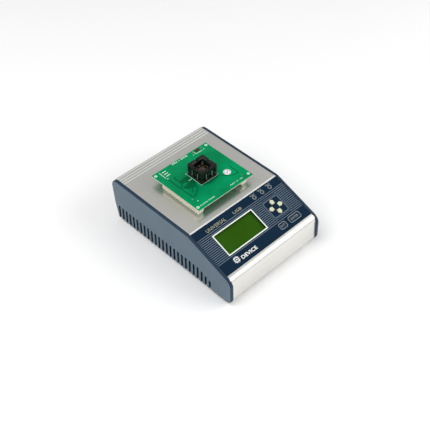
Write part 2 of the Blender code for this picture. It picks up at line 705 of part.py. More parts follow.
def make_adapter():
    """The plug-in board, its two plugs, its label and its small identity chip."""
    holes = [circle(side * ADAPTER_HOLE_X, y, 1.7 * MM, 10) for side in (-1, 1) for y in ADAPTER_HOLE_YS]
    rings = [rectangle(-ADAPTER_HALF, ADAPTER_HALF, *ADAPTER_YS, 0.8 * MM, 2), *holes]
    piece("adapter_board", slab(rings, BOARD, -BOARD), PCB_GREEN, parent=ADAPTER)
    body_low = RECEPTACLE_TOP_Z + GAP - ADAPTER_TOP_Z
    for side, x in PLUG_XS.items():
        half = PLUG_WIDTH / 2
        body = slab([rectangle(x - half, x + half, *PLUG_YS)], -BOARD - GAP - body_low, body_low)
        plug = piece(f"adapter_plug_{side}", body, IVORY, parent=ADAPTER)
        tongue = box(
            (x - TONGUE_WIDTH / 2, PLUG_YS[0] + TONGUE_END, body_low - TONGUE_LENGTH),
            (x + TONGUE_WIDTH / 2, PLUG_YS[1] - TONGUE_END, body_low + 1 * MM),
        )
        cut(plug, cutter(tongue, parent=ADAPTER), "UNION")
    chip = slab([rectangle(*ID_CHIP)], ID_CHIP_THICK, GAP)
    piece("adapter_chip", chip, BLACK_PLASTIC, parent=ADAPTER)
    label = slab([circle(*LABEL_AT, LABEL_RADIUS, 24)], LABEL_THICK, SKIN_GAP)
    piece("round_label", label, LABEL_WHITE, parent=ADAPTER)


def make_receptacles():
    """The sockets in the flat top, standing on the driver board."""
    low = DRIVER_TOP_Z + GAP
    half = RECEPTACLE_WIDTH / 2
    reach = TONGUE_WIDTH / 2 + GAP
    floor = RECEPTACLE_TOP_Z - TONGUE_LENGTH - 1 * MM
    for side, x in PLUG_XS.items():
        body = slab([rectangle(x - half, x + half, *PLUG_YS)], RECEPTACLE_TOP_Z - low, low)
        made = piece(f"receptacle_{side}", body, RECEPTACLE_GREY)
        slot = box(
            (x - reach, PLUG_YS[0] + TONGUE_END - GAP, floor),
            (x + reach, PLUG_YS[1] - TONGUE_END + GAP, RECEPTACLE_TOP_Z + 1 * MM),
        )
        cut(made, cutter(slot))


def square(half, radius=0.0):
    return rectangle(-half, half, -half, half, radius, 2)


def make_socket_base():
    base = piece(
        "socket_base",
        slab([square(SOCKET_HALF - 0.2 * MM, 1 * MM)], FLANGE_TOP - GAP, GAP),
        SOCKET_BLACK,
        parent=SOCKET,
    )
    body = slab([square(SOCKET_BODY_HALF)], BODY_TOP - FLANGE_TOP + 0.5 * MM, FLANGE_TOP - 0.5 * MM)
    cut(base, cutter(body, parent=SOCKET), "UNION")
    well = slab([square(WELL_HALF)], BODY_TOP, WELL_FLOOR)
    cut(base, cutter(well, parent=SOCKET))
    corners = [circle(x * SPRING_AT, y * SPRING_AT, 2.4 * MM, 10) for x in (-1, 1) for y in (-1, 1)]
    pockets = slab(corners, BODY_TOP, FLANGE_TOP + 0.2 * MM)
    cut(base, cutter(pockets, parent=SOCKET))


def make_socket_cover():
    """The press-down cover: a rim round an open window, with slots in its skirt."""
    block = slab([square(SOCKET_HALF, 1.2 * MM)], SOCKET_HEIGHT - SKIRT_BOTTOM, SKIRT_BOTTOM)
    cover = piece("socket_cover", block, SOCKET_BLACK, parent=SOCKET)
    hollow = slab([square(SKIRT_INNER)], FRAME_BOTTOM - SKIRT_BOTTOM + 1 * MM, SKIRT_BOTTOM - 1 * MM)
    cut(cover, cutter(hollow, parent=SOCKET))
    window = slab([square(WINDOW_HALF)], 8 * MM, FRAME_BOTTOM - 2 * MM)
    cut(cover, cutter(window, parent=SOCKET))
    outside = SOCKET_HALF + 1 * MM
    slot_inside = SKIRT_INNER - 1 * MM
    notch_inside = WINDOW_HALF - 1 * MM
    openings = []
    for sign in (-1, 1):
        for side in (-1, 1):
            a, b = sorted(side * across for across in SLOT_SPAN)
            near, far = sorted((sign * slot_inside, sign * outside))
            openings.append(((a, near, SKIRT_BOTTOM - 1 * MM), (b, far, SLOT_TOP)))
            openings.append(((near, a, SKIRT_BOTTOM - 1 * MM), (far, b, SLOT_TOP)))
        near, far = sorted((sign * notch_inside, sign * outside))
        high = SOCKET_HEIGHT + 1 * MM
        openings.append(((-RIM_NOTCH_HALF, near, RIM_NOTCH_FLOOR), (RIM_NOTCH_HALF, far, high)))
        openings.append(((near, -RIM_NOTCH_HALF, RIM_NOTCH_FLOOR), (far, RIM_NOTCH_HALF, high)))
    cut(cover, cutter(boxes(openings), parent=SOCKET))


def make_socket_seat():
    """The pedestal that the chip rests on, with a shallow pocket that centres it."""
    bm = bmesh.new()
    low, high = WELL_FLOOR + GAP, 9.5 * MM
    place = Matrix.Translation((0, 0, (low + high) / 2)) @ Matrix.Diagonal((16 * MM, 16 * MM, high - low, 1))
    bmesh.ops.create_cube(bm, size=1.0, matrix=place)
    top = [face for face in bm.faces if face.normal.z > 0.9]
    bmesh.ops.inset_region(bm, faces=top, thickness=1.4 * MM)
    bmesh.ops.translate(bm, vec=(0, 0, -0.9 * MM), verts=top[0].verts)
    piece("socket_seat", mesh_of(bm, "seat"), SOCKET_BLACK, parent=SOCKET)


def make_contacts():
    """Four hooked combs. Each leans outwards on its foot when the cover is pressed."""
    foot, hook = WELL_FLOOR + GAP + 0.2 * MM, CONTACT_TOP - 0.6 * MM
    outer = CONTACT_AT + CONTACT_THICK
    profile = [
        (CONTACT_AT, foot),
        (outer, foot),
        (outer, CONTACT_TOP),
        (CONTACT_AT - CONTACT_HOOK, CONTACT_TOP),
        (CONTACT_AT - CONTACT_HOOK, hook),
        (CONTACT_AT, hook),
    ]
    profile = [(x - CONTACT_AT, z - CONTACT_PIVOT_Z) for x, z in profile]
    comb = piece("comb", slab([profile], 2 * CONTACT_HALF), GOLD, (0, CONTACT_HALF, 0), ALONG_Y)
    pitch = 2 * CONTACT_HALF / CONTACT_TEETH
    gaps = []
    for k in range(1, CONTACT_TEETH):
        y = -CONTACT_HALF + k * pitch
        gaps.append(((-5 * MM, y - 0.45 * MM, 3 * MM), (5 * MM, y + 0.45 * MM, 15 * MM)))
    cut(comb, cutter(boxes(gaps)))
    shape = applied(comb)
    shape.transform(Matrix.Rotation(PI_HALF, 4, "X"))
    shape.transform(Matrix.Translation((0.0, CONTACT_HALF, 0.0)))
    for name, angle in (("right", 0.0), ("rear", PI_HALF), ("left", math.pi), ("front", -PI_HALF)):
        place = (CONTACT_AT * math.cos(angle), CONTACT_AT * math.sin(angle), CONTACT_PIVOT_Z)
        piece(f"contact_row_{name}", shape, GOLD, place, (0.0, 0.0, angle), SOCKET)


def make_springs():
    """Four coil springs in the corners hold the cover up."""
    curve = bpy.data.curves.new("coil", "CURVE")
    curve.dimensions = "3D"
    curve.bevel_depth = 0.35 * MM
    curve.bevel_resolution = 0
    curve.use_fill_caps = True
    low, high = FLANGE_TOP + 0.9 * MM, FRAME_BOTTOM - 0.7 * MM
    count = SPRING_TURNS * 9 + 1
    spline = curve.splines.new("POLY")
    spline.points.add(count - 1)
    for k, point in enumerate(spline.points):
        angle = 2 * math.pi * SPRING_TURNS * k / (count - 1)
        z = low + (high - low) * k / (count - 1)
        point.co = (SPRING_RADIUS * math.cos(angle), SPRING_RADIUS * math.sin(angle), z, 1.0)
    holder = bpy.data.objects.new("coil", curve)
    CUTTERS.objects.link(holder)
    bm = bmesh.new()
    bm.from_mesh(applied(holder))
    bmesh.ops.remove_doubles(bm, verts=bm.verts, dist=0.000001)
    coil = mesh_of(bm, "coil", smooth=True)
    number = 0
    for x in (-1, 1):
        for y in (-1, 1):
            number += 1
            place = (x * SPRING_AT, y * SPRING_AT, 0.0)
            piece(f"socket_spring_{number}", coil, STEEL, place, parent=SOCKET)


# ------------------------------------------------------------------ inside and rear fittings


def make_boards():
    """The driver board under the receptacles, and the main board under it on standoffs."""
    driver = slab([rectangle(*DRIVER_SPAN)], BOARD, DRIVER_TOP_Z - BOARD)
    piece("driver_board", driver, PCB_GREEN)
    holes = [circle(x, y, 2.2 * MM, 8) for x in STANDOFF_XS for y in STANDOFF_YS]
    main = [rectangle(*MAIN_SPAN), *holes]
    piece("main_board", slab(main, BOARD, MAIN_TOP_Z - BOARD), PCB_GREEN)
    chip = slab([rectangle(*LOGIC_SPAN)], LOGIC_THICK, MAIN_TOP_Z + GAP)
    piece("logic_chip", chip, BLACK_PLASTIC)
    shoulder = MAIN_TOP_Z + GAP
    under = MAIN_TOP_Z - BOARD - GAP
    foot = UNDER_Z + SHEET + GAP
    top = DRIVER_TOP_Z - BOARD - GAP
    profile = [(0.0, top), (3.2, top), (3.2, shoulder), (1.7, shoulder)]
    profile += [(1.7, under), (4.0, under), (4.0, foot), (0.0, foot)]
    profile = [(r * MM, z) for r, z in profile]
    number = 0
    for x in STANDOFF_XS:
        for y in STANDOFF_YS:
            number += 1
            turned(f"standoff_{number}", profile, STEEL, 6, location=(x, y, 0.0))


def make_heat_sink():
    """An extruded comb of fins on the main board, near the rear."""
    low, base, high = MAIN_TOP_Z + GAP, MAIN_TOP_Z + 4 * MM, MAIN_TOP_Z + 20 * MM
    start, fin, pitch, count = 2 * MM, 1.6 * MM, 6 * MM, 7
    section = [(start, low), (start + (count - 1) * pitch + fin, low)]
    for k in reversed(range(count)):
        x = start + k * pitch
        section += [(x + fin, base), (x + fin, high), (x, high), (x, base)]
    section = [section[0], section[1], *section[3:-1]]
    piece("heat_sink", slab([section], SINK_LENGTH), ALUMINIUM, (0.0, SINK_REAR_Y, 0.0), ALONG_Y)


def make_rear_fittings():
    """Power inlet and USB socket, opening to the rear, and the rocker switch."""
    low, high = MAIN_TOP_Z + GAP, INLET_TOP_Z
    middle = (low + high) / 2
    for name, x, half, mat in (
        ("power_jack", JACK_X, JACK_HALF, BLACK_PLASTIC),
        ("usb_port", USB_X, USB_HALF, STEEL),
    ):
        body = box((x - half, INLET_FRONT_Y, low), (x + half, REAR_FACE_Y, high))
        made = piece(name, body, mat)
        if name == "usb_port":
            rings = [
                rectangle(x - 4.3 * MM, x + 4.3 * MM, middle - 3.9 * MM, middle + 3.9 * MM),
                rectangle(x - 2.8 * MM, x + 2.8 * MM, middle - 1.5 * MM, middle + 1.5 * MM),
            ]
        else:
            rings = [circle(x, middle, 3.2 * MM, 16), circle(x, middle, 1.0 * MM, 8)]
        mouth = slab(rings, 10 * MM)
        cut(made, cutter(mouth, (0.0, REAR_FACE_Y + 0.5 * MM, 0.0), ALONG_Y))
    make_rocker_switch()


def make_rocker_switch():
    """The switch housing stands on the rear panel, and the rocker turns in its pocket."""
    front = REAR_PANEL_Y + SHEET + GAP
    across, up = ROCKER_BEZEL
    bezel = rectangle(ROCKER_X - across, ROCKER_X + across, ROCKER_Z - up, ROCKER_Z + up, 1 * MM, 2)
    place = (0.0, front + 1.6 * MM, 0.0)
    housing = piece("rocker_housing", slab([bezel], 1.6 * MM), BLACK_PLASTIC, place, ALONG_Y)
    across, up = ROCKER_BODY
    body = box(
        (ROCKER_X - across, ROCKER_BODY_Y, ROCKER_Z - up),
        (ROCKER_X + across, front + 0.5 * MM, ROCKER_Z + up),
    )
    cut(housing, cutter(body), "UNION")
    across, up = ROCKER_POCKET
    pocket = box(
        (ROCKER_X - across, ROCKER_POCKET_Y, ROCKER_Z - up),
        (ROCKER_X + across, front + 3 * MM, ROCKER_Z + up),
    )
    cut(housing, cutter(pocket))
    rocker = [(-7.0, 1.0), (-7.0, 5.0), (0.0, 3.4), (7.0, 5.0), (7.0, 1.0), (3.0, -3.0), (-3.0, -3.0)]
    rocker = [(x * MM, y * MM) for x, y in rocker]
    pivot = (ROCKER_X, front - 2.5 * MM, ROCKER_Z)
    off = (0.0, 0.0, -ROCKER_TILT)
    piece("power_rocker", slab([rocker], 9.6 * MM, -4.8 * MM), BLACK_PLASTIC, pivot, off)


def main():
    make_top_cover()
    make_cheeks()
    make_base_plate()
    make_feet()
    make_rear_panel()
    make_panel()
    make_keys()
    make_keypad_board()
    make_ribbon()
    make_adapter()
    make_receptacles()
    make_socket_base()
    make_socket_cover()
    make_socket_seat()
    make_contacts()
    make_springs()
    make_boards()
    make_heat_sink()
    make_rear_fittings()


main()
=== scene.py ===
"""The looks of a bench device programmer with a plug-in socket adapter, built around its CAD frame.

Everything is in metres, in the CAD frame: +X right, +Y rear, +Z up, origin on the bench plane.
Sizes in a comment or a name ending in MM are millimetres; the factor MM turns them into metres.
"""

import json
import math

import bmesh
import bpy
from mathutils import Matrix, Vector


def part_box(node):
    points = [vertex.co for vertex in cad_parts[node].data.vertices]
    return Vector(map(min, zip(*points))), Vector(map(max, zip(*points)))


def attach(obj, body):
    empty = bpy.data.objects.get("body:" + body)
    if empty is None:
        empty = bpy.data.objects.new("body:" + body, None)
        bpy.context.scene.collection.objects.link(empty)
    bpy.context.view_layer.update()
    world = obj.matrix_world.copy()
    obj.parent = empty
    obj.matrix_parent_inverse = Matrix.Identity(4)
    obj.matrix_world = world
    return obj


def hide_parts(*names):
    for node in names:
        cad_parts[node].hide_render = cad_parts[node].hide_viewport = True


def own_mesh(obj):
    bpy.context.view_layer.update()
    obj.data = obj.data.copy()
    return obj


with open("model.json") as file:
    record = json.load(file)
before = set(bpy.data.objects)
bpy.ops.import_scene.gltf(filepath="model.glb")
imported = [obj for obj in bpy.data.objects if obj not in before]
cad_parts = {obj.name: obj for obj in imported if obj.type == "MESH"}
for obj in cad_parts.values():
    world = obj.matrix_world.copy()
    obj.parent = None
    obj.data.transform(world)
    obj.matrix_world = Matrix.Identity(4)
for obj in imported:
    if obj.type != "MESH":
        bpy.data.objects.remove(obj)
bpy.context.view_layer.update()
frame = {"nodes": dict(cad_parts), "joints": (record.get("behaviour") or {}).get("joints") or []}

MM = 0.001
OUTLINE_SCALE = 1000.0  # outlines are filled in mm, because the fill joins very close points
PI_HALF = math.pi / 2
ALONG_X = Matrix.Rotation(PI_HALF, 4, "Z") @ Matrix.Rotation(PI_HALF, 4, "X")
ALONG_Y = Matrix.Rotation(PI_HALF, 4, "X")
IDENTITY = Matrix.Identity(4)


def mm(*values):
    """Millimetres as metres."""
    return [value * MM for value in values]


# ------------------------------------------------------------------ places read from the frame


def low(node):
    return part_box(node)[0]


def high(node):
    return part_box(node)[1]


JOINTS = {joint["name"]: joint for joint in frame["joints"]}
PANEL_ANGLE = math.asin(JOINTS["key_up_press"]["axis"][1])
SIN, COS = math.sin(PANEL_ANGLE), math.cos(PANEL_ANGLE)
TOP_Z = high("top_cover").z
BODY_HALF = high("top_cover").x
OVERLAY_START = 0.5 * MM  # the membrane's rear edge is this far down the slope
OVERLAY_UNDER = -0.7 * MM
OVERLAY_TOP = -0.3 * MM
KINK_Y = high("panel_overlay").y + OVERLAY_START * COS + OVERLAY_UNDER * SIN
PANEL = Matrix.Translation((0, KINK_Y, TOP_Z)) @ Matrix.Rotation(PANEL_ANGLE, 4, "X")
PANEL_LENGTH = 88.2 * MM
BOARD_TOP = high("adapter_board").z
SOCKET_CENTRE = (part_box("socket_base")[0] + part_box("socket_base")[1]) / 2
SOCKET = Matrix.Translation((SOCKET_CENTRE.x, SOCKET_CENTRE.y, BOARD_TOP))
BOARD_FRONT = 24.8 * MM  # the board's own y = 0 is this far behind its front edge
BOARD_Y = low("adapter_board").y + BOARD_FRONT
BOARD = Matrix.Translation((0, BOARD_Y, BOARD_TOP))

# Camera, from the view that the renders keep
VIEW_AZIMUTH = -44.25  # degrees, as the elevation is
VIEW_ELEVATION = 45.15
VIEW_TARGET = Vector((41.3, 42.0, -29.3)) * MM
VIEW_DISTANCE = 1455 * MM
VIEW_LENS_MM = 67.7
SENSOR_MM = 36.0
LIGHTS_TARGET = Vector((0, 0, 50)) * MM
LIGHTS_DISTANCE = 2200 * MM
WORLD_STRENGTH = 0.46

PRINT = 0.05 * MM  # height of a print above its surface
PRINT_ROOT = 0.02 * MM  # and its depth below it
MARGIN = 1.0 * MM  # how far a cut, or a test for a face, reaches past what it is for


# ------------------------------------------------------------------ materials


def linear(hex_colour):
    """A hex sRGB colour as linear RGB."""
    values = [int(hex_colour[i : i + 2], 16) / 255 for i in (1, 3, 5)]
    return [v / 12.92 if v <= 0.04045 else ((v + 0.055) / 1.055) ** 2.4 for v in values]


def scaled(colour, factor):
    return [min(channel * factor, 1.0) for channel in colour]


class Material:
    """A Principled material with nodes added by name and linked in one call."""

    def __init__(self, name, roughness, metallic=0.0, **sockets):
        self.block = bpy.data.materials.new(name)
        self.block.use_nodes = True
        self.tree = self.block.node_tree
        self.shader = self.tree.nodes["Principled BSDF"]
        self.shader.inputs["Roughness"].default_value = roughness
        self.shader.inputs["Metallic"].default_value = metallic
        for socket, value in sockets.items():
            self.shader.inputs[socket.replace("_", " ")].default_value = value
        self.coordinates = self.node("ShaderNodeTexCoord").outputs["Object"]

    def node(self, kind, links=None, **settings):
        """Adds a node. links maps an input's name or number to an output or a value."""
        made = self.tree.nodes.new(kind)
        for key, value in settings.items():
            setattr(made, key, value)
        for key, value in (links or {}).items():
            if isinstance(value, bpy.types.NodeSocket):
                self.tree.links.new(value, made.inputs[key])
            else:
                made.inputs[key].default_value = value
        return made

    def set(self, socket, output):
        self.tree.links.new(output, self.shader.inputs[socket])

    def mapped(self, scale, rotation=(0, 0, 0)):
        links = {"Vector": self.coordinates, "Scale": scale, "Rotation": rotation}
        return self.node("ShaderNodeMapping", links).outputs[0]

    def noise(self, vector, scale, detail=4.0, roughness=0.55):
        links = {"Vector": vector, "Scale": scale, "Detail": detail, "Roughness": roughness}
        return self.node("ShaderNodeTexNoise", links).outputs[0]

    def ranged(self, value, low_in, high_in, low_out, high_out):
        links = {0: value, 1: low_in, 2: high_in, 3: low_out, 4: high_out}
        return self.node("ShaderNodeMapRange", links).outputs[0]

    def math(self, operation, a, b=0.0):
        return self.node("ShaderNodeMath", {0: a, 1: b}, operation=operation).outputs[0]

    def mixed(self, factor, a, b):
        """A colour between a and b, each a list of three numbers or an output."""
        ends = [end if isinstance(end, bpy.types.NodeSocket) else (*end, 1) for end in (a, b)]
        links = {"Factor": factor, 6: ends[0], 7: ends[1]}
        return self.node("ShaderNodeMix", links, data_type="RGBA").outputs[2]

    def bump(self, heights, strength, distance):
        """heights is one output; distance is in metres."""
        links = {"Height": heights, "Strength": strength, "Distance": distance}
        self.set("Normal", self.node("ShaderNodeBump", links).outputs[0])


def textured(name, colour, roughness, grain, depth, mottle, spread=0.06, **sockets):
    """A moulded, brushed or painted surface: fine grain, broad mottling and uneven gloss.

    grain is the texture's frequency, one for all axes or one for each; depth is its height in mm.
    """
    made = Material(name, roughness, **sockets)
    colour = linear(colour)
    fine = made.noise(made.mapped(grain if isinstance(grain, tuple) else (grain,) * 3), 1.0, 5.0)
    broad = made.noise(made.coordinates, 22.0, 3.0)
    tone = made.math("ADD", made.math("MULTIPLY", broad, 0.7), made.math("MULTIPLY", fine, 0.3))
    tone = made.ranged(tone, 0.35, 0.65, 0.0, 1.0)
    made.set("Base Color", made.mixed(tone, scaled(colour, 1 - mottle), scaled(colour, 1 + mottle)))
    made.set("Roughness", made.ranged(fine, 0.3, 0.7, roughness - spread, roughness + spread))
    made.bump(fine, 0.5, depth * MM)
    return made.block


def aluminium_material():
    """Anodised aluminium, brushed along X, with a slightly warm tone."""
    made = Material("brushed_aluminium", 0.3, 0.9)
    hair = made.noise(made.mapped((14, 2600, 2600)), 1.0, 6.0, 0.7)
    streak = made.noise(made.mapped((3, 420, 420)), 1.0, 3.0)
    broad = made.noise(made.coordinates, 9.0, 2.0)
    tone = made.math("ADD", made.math("MULTIPLY", hair, 0.5), made.math("MULTIPLY", streak, 0.15))
    tone = made.math("ADD", tone, made.math("MULTIPLY", broad, 0.35))
    tone = made.ranged(tone, 0.36, 0.64, 0.0, 1.0)
    made.set("Base Color", made.mixed(tone, linear("#dbdad5"), linear("#e6e5e0")))
    made.set("Roughness", made.ranged(hair, 0.3, 0.7, 0.29, 0.37))
    made.bump(hair, 0.3, 0.004 * MM)
    return made.block


def edge_highlight_material():
    """The edge where the top turns into the slope, coloured near-white and barely metallic as a painted
    highlight.
    """
    made = Material("edge_painted_highlight", 0.35, 0.25)
    hair = made.noise(made.mapped((20, 3000, 3000)), 1.0, 5.0)
    made.set("Base Color", made.mixed(hair, linear("#eeeeee"), linear("#ffffff")))
    made.bump(hair, 0.2, 0.004 * MM)
    return made.block


def board_material():
    """Green solder mask over glass fibre; the cut edges show the pale laminate."""
    made = Material("board_green", 0.34, Specular_IOR_Level=0.06)
    position = made.node("ShaderNodeSeparateXYZ", {"Vector": made.coordinates}).outputs
    weave_x = made.math("SINE", made.math("MULTIPLY", position[0], 7000.0))
    weave_y = made.math("SINE", made.math("MULTIPLY", position[1], 7000.0))
    weave = made.math("MULTIPLY", weave_x, weave_y)
    broad = made.noise(made.coordinates, 26.0, 3.0)
    fine = made.noise(made.coordinates, 900.0, 4.0)
    tone = made.math("ADD", broad, made.math("MULTIPLY", weave, 0.04))
    tone = made.ranged(tone, 0.35, 0.65, 0.0, 1.0)
    mask = made.mixed(tone, linear("#007c4c"), linear("#00925c"))
    normal = made.node("ShaderNodeNewGeometry").outputs["Normal"]
    upward = made.node("ShaderNodeSeparateXYZ", {"Vector": normal}).outputs[2]
    is_face = made.math("GREATER_THAN", made.math("ABSOLUTE", upward), 0.55)
    laminate = made.mixed(fine, linear("#a9c8a4"), linear("#d6e6cd"))
    made.set("Base Color", made.mixed(is_face, laminate, mask))
    made.set("Roughness", made.ranged(fine, 0.3, 0.7, 0.26, 0.4))
    height = made.math("ADD", made.math("MULTIPLY", weave, 0.3), fine)
    made.bump(height, 0.3, 0.01 * MM)
    return made.block


def display_material():
    """Unlit green display: a faint grid of dots under a glossy face."""
    made = Material("display_green", 0.3, Specular_IOR_Level=0.02)
    flat = made.mapped((1, 1, 1), (-PANEL_ANGLE, 0, 0))
    position = made.node("ShaderNodeSeparateXYZ", {"Vector": flat}).outputs
    pitch = 0.62 * MM
    columns = made.math("FRACT", made.math("DIVIDE", position[0], pitch))
    rows = made.math("FRACT", made.math("DIVIDE", position[1], pitch))
    gap_x = made.math("LESS_THAN", columns, 0.14)
    gap_y = made.math("LESS_THAN", rows, 0.14)
    grid = made.math("MAXIMUM", gap_x, gap_y)
    cloud = made.noise(made.mapped((18, 30, 30)), 1.0, 2.0)
    cloud = made.ranged(cloud, 0.35, 0.7, 0.0, 1.0)
    green = made.mixed(cloud, linear("#2c520c"), linear("#2e5a16"))
    made.set("Base Color", made.mixed(made.math("MULTIPLY", grid, 0.25), green, linear("#264d0e")))
    fine = made.noise(made.coordinates, 700.0, 3.0)
    made.set("Roughness", made.ranged(fine, 0.3, 0.7, 0.28, 0.36))
    return made.block


def floor_material():
    made = Material("studio_floor", 0.7)
    cloud = made.noise(made.coordinates, 2.0, 2.0)
    made.set("Base Color", made.mixed(cloud, linear("#fcfcfc"), linear("#ffffff")))
    return made.block


def dull(level):
    """A surface that mirrors less than plain plastic, whose level is 0.5."""
    return {"Specular_IOR_Level": level}


BRUSHED = (14, 900, 900)  # a grain drawn out along X

# short name: material's name, colour, roughness, grain, depth, mottling and what else textured takes
PLAIN_SURFACES = {
    "cheek": ("cheek_slate", "#5c6e7b", 0.5, 1900, 0.03, 0.05, dull(0.3)),
    "rim": ("cheek_navy", "#1f3448", 0.38, 1900, 0.02, 0.08, dull(0.25)),
    "liner": ("vent_liner", "#3a5468", 0.6, 1900, 0.02, 0.08, {}),
    "membrane": ("membrane_navy", "#10263a", 0.5, 2600, 0.012, 0.1, {"spread": 0.05, **dull(0.05)}),
    # The next two are painted light: the groove floors get a darker painted shade, and their front-facing
    # slopes get a near-white painted highlight.
    "groove": ("groove_shade", "#9a9b97", 0.6, BRUSHED, 0.01, 0.08, {"metallic": 0.2}),
    "groove_side": ("groove_side", "#d6d7d3", 0.5, BRUSHED, 0.01, 0.06, {"metallic": 0.4}),
    "zinc": ("zinc_plate", "#a9a9a4", 0.38, 500, 0.01, 0.12, {"spread": 0.08, "metallic": 0.9}),
    "steel": ("screw_steel", "#b4b4b0", 0.3, 900, 0.005, 0.05, {"metallic": 1.0}),
    "tin": ("tinned_copper", "#e6e4d8", 0.3, 1500, 0.01, 0.06, {"metallic": 0.7}),
    "copper": ("bare_copper", "#9a6a48", 0.4, 1500, 0.01, 0.1, {"metallic": 0.6}),
    "contact": ("contact_metal", "#b9ad92", 0.3, 900, 0.005, 0.1, {"metallic": 1.0}),
    "rubber": ("foot_rubber", "#1b1b1c", 0.75, 1200, 0.05, 0.2, {}),
    "bezel": ("bezel_white", "#e6efe2", 0.4, 1600, 0.01, 0.03, {}),
    # The display recess's walls: near-black, as painted shade.
    "well": ("display_well", "#080c08", 0.6, 1600, 0.02, 0.2, dull(0.05)),
    "key": ("key_cream", "#d3d4b8", 0.42, 1400, 0.01, 0.03, {}),
    "lens": ("lens_smoke", "#0c0f12", 0.16, 600, 0.003, 0.2, {"Coat_Weight": 0.5}),
    "ivory": ("connector_ivory", "#dfd5c2", 0.5, 1300, 0.02, 0.05, {}),
    # Receptacles: grey plastic with a green tint, which paints in the reflection of the green board above
    # them and its shade.
    "receptacle": ("receptacle_grey", "#98a896", 0.5, 1300, 0.02, 0.05, {}),
    "socket": ("socket_black", "#0f1212", 0.42, 1500, 0.03, 0.2, dull(0.3)),
    "seat": ("seat_grey", "#5a4842", 0.5, 1500, 0.03, 0.2, {}),
    "black": ("black_moulding", "#191a1b", 0.45, 1500, 0.03, 0.2, {}),
    "chip": ("chip_epoxy", "#35191a", 0.5, 2400, 0.02, 0.2, {}),
    "paper": ("label_paper", "#f2f6f4", 0.6, 1800, 0.01, 0.03, {}),
    "ribbon": ("ribbon_grey", "#9a9a96", 0.5, (60, 2600, 2600), 0.02, 0.1, {}),
    "print_stripe": ("print_stripe", "#76828e", 0.5, 1500, 0.004, 0.08, dull(0.1)),
    "print_frame": ("print_frame", "#52606e", 0.5, 1500, 0.004, 0.08, dull(0.1)),
    "print_grey": ("print_grey", "#8f9a9e", 0.5, 1500, 0.004, 0.08, dull(0.1)),
    "print_olive": ("print_olive", "#b5b496", 0.5, 1500, 0.004, 0.1, dull(0.1)),
    "print_white": ("print_white", "#f1f4f2", 0.5, 1500, 0.004, 0.04, {}),
    "silk": ("silk_mint", "#d3fbe6", 0.55, 1500, 0.004, 0.05, {}),
    # The trace colour is darkened further, because it also paints the socket's shadow beside it.
    "trace": ("trace_green", "#006038", 0.4, 1500, 0.004, 0.08, dull(0.05)),
}

SURFACES = {short: textured(*row[:-1], **row[-1]) for short, row in PLAIN_SURFACES.items()}
SURFACES["aluminium"] = aluminium_material()
SURFACES["bright"] = edge_highlight_material()
SURFACES["board"] = board_material()
SURFACES["display"] = display_material()
SURFACES["floor"] = floor_material()

# ------------------------------------------------------------------ shapes


def rounded(corners, steps=8, closed=True):
    """Turns (x, y, radius) corners into outline points, each corner an arc."""
    outline = []
    count = len(corners)
    for i, (x, y, radius) in enumerate(corners):
        here = Vector((x, y))
        at_end = not closed and i in (0, count - 1)
        if radius <= 0.0 or at_end:
            outline.append((x, y))
            continue
        before = (Vector(corners[i - 1][:2]) - here).normalized()
        after = (Vector(corners[(i + 1) % count][:2]) - here).normalized()
        half = before.angle(after) / 2
        centre = here + (before + after).normalized() * (radius / math.sin(half))
        reach = radius / math.tan(half)
        start = here + before * reach - centre
        end = here + after * reach - centre
        first = math.atan2(start.y, start.x)
        turn = (math.atan2(end.y, end.x) - first + math.pi) % (2 * math.pi) - math.pi
        for k in range(steps + 1):
            angle = first + turn * k / steps
            outline.append((centre.x + radius * math.cos(angle), centre.y + radius * math.sin(angle)))
    return outline


def rectangle(x0, x1, y0, y1, radius=0.0, steps=6):
    return rounded([(x0, y0, radius), (x1, y0, radius), (x1, y1, radius), (x0, y1, radius)], steps)


def square(half, radius=0.0):
    return rectangle(-half, half, -half, half, radius)


def circle(x, y, radius, sides=32):
    turn = 2 * math.pi / sides
    return [(x + radius * math.cos(turn * k), y + radius * math.sin(turn * k)) for k in range(sides)]


def moved(outline, x, y):
    return [(a + x, b + y) for a, b in outline]


def band(path, width):
    """A strip of constant width along an open path of (x, y) points, as one outline."""
    points = [Vector(p) for p in path]
    left, right = [], []
    for i, point in enumerate(points):
        ahead = points[min(i + 1, len(points) - 1)] - point
        behind = point - points[max(i - 1, 0)]
        ahead = (ahead if ahead.length else behind).normalized()
        behind = (behind if behind.length else ahead).normalized()
        side = Vector((-(ahead + behind).y, (ahead + behind).x)).normalized()
        reach = width / 2 / max(side.dot(Vector((-ahead.y, ahead.x))), 0.3)
        left.append(tuple(point + side * reach))
        right.append(tuple(point - side * reach))
    return left + right[::-1]


def filled(curve):
    """The welded bmesh of a filled 2D curve or text."""
    holder = bpy.data.objects.new("outline", curve)
    bpy.context.scene.collection.objects.link(holder)
    mesh = bpy.data.meshes.new_from_object(holder.evaluated_get(bpy.context.evaluated_depsgraph_get()))
    bm = bmesh.new()
    bm.from_mesh(mesh)
    bmesh.ops.remove_doubles(bm, verts=bm.verts, dist=0.0001)
    bpy.data.objects.remove(holder, do_unlink=True)
    bpy.data.curves.remove(curve)
    bpy.data.meshes.remove(mesh)
    return bm


def extruded(rings, start, end):
    """Flat outlines (rings inside others are holes), extruded along local Z from start to end."""
    curve = bpy.data.curves.new("outline", "CURVE")
    curve.dimensions = "2D"
    curve.fill_mode = "BOTH"
    curve.extrude = (end - start) / 2 * OUTLINE_SCALE
    for ring in rings:
        spline = curve.splines.new("POLY")
        spline.points.add(len(ring) - 1)
        spline.use_cyclic_u = True
        for point, (x, y) in zip(spline.points, ring):
            point.co = (x * OUTLINE_SCALE, y * OUTLINE_SCALE, 0.0, 1.0)
    bm = filled(curve)
    bmesh.ops.scale(bm, vec=Vector((1, 1, 1)) / OUTLINE_SCALE, verts=bm.verts)
    bmesh.ops.translate(bm, vec=(0, 0, (start + end) / 2), verts=bm.verts)
    return bm


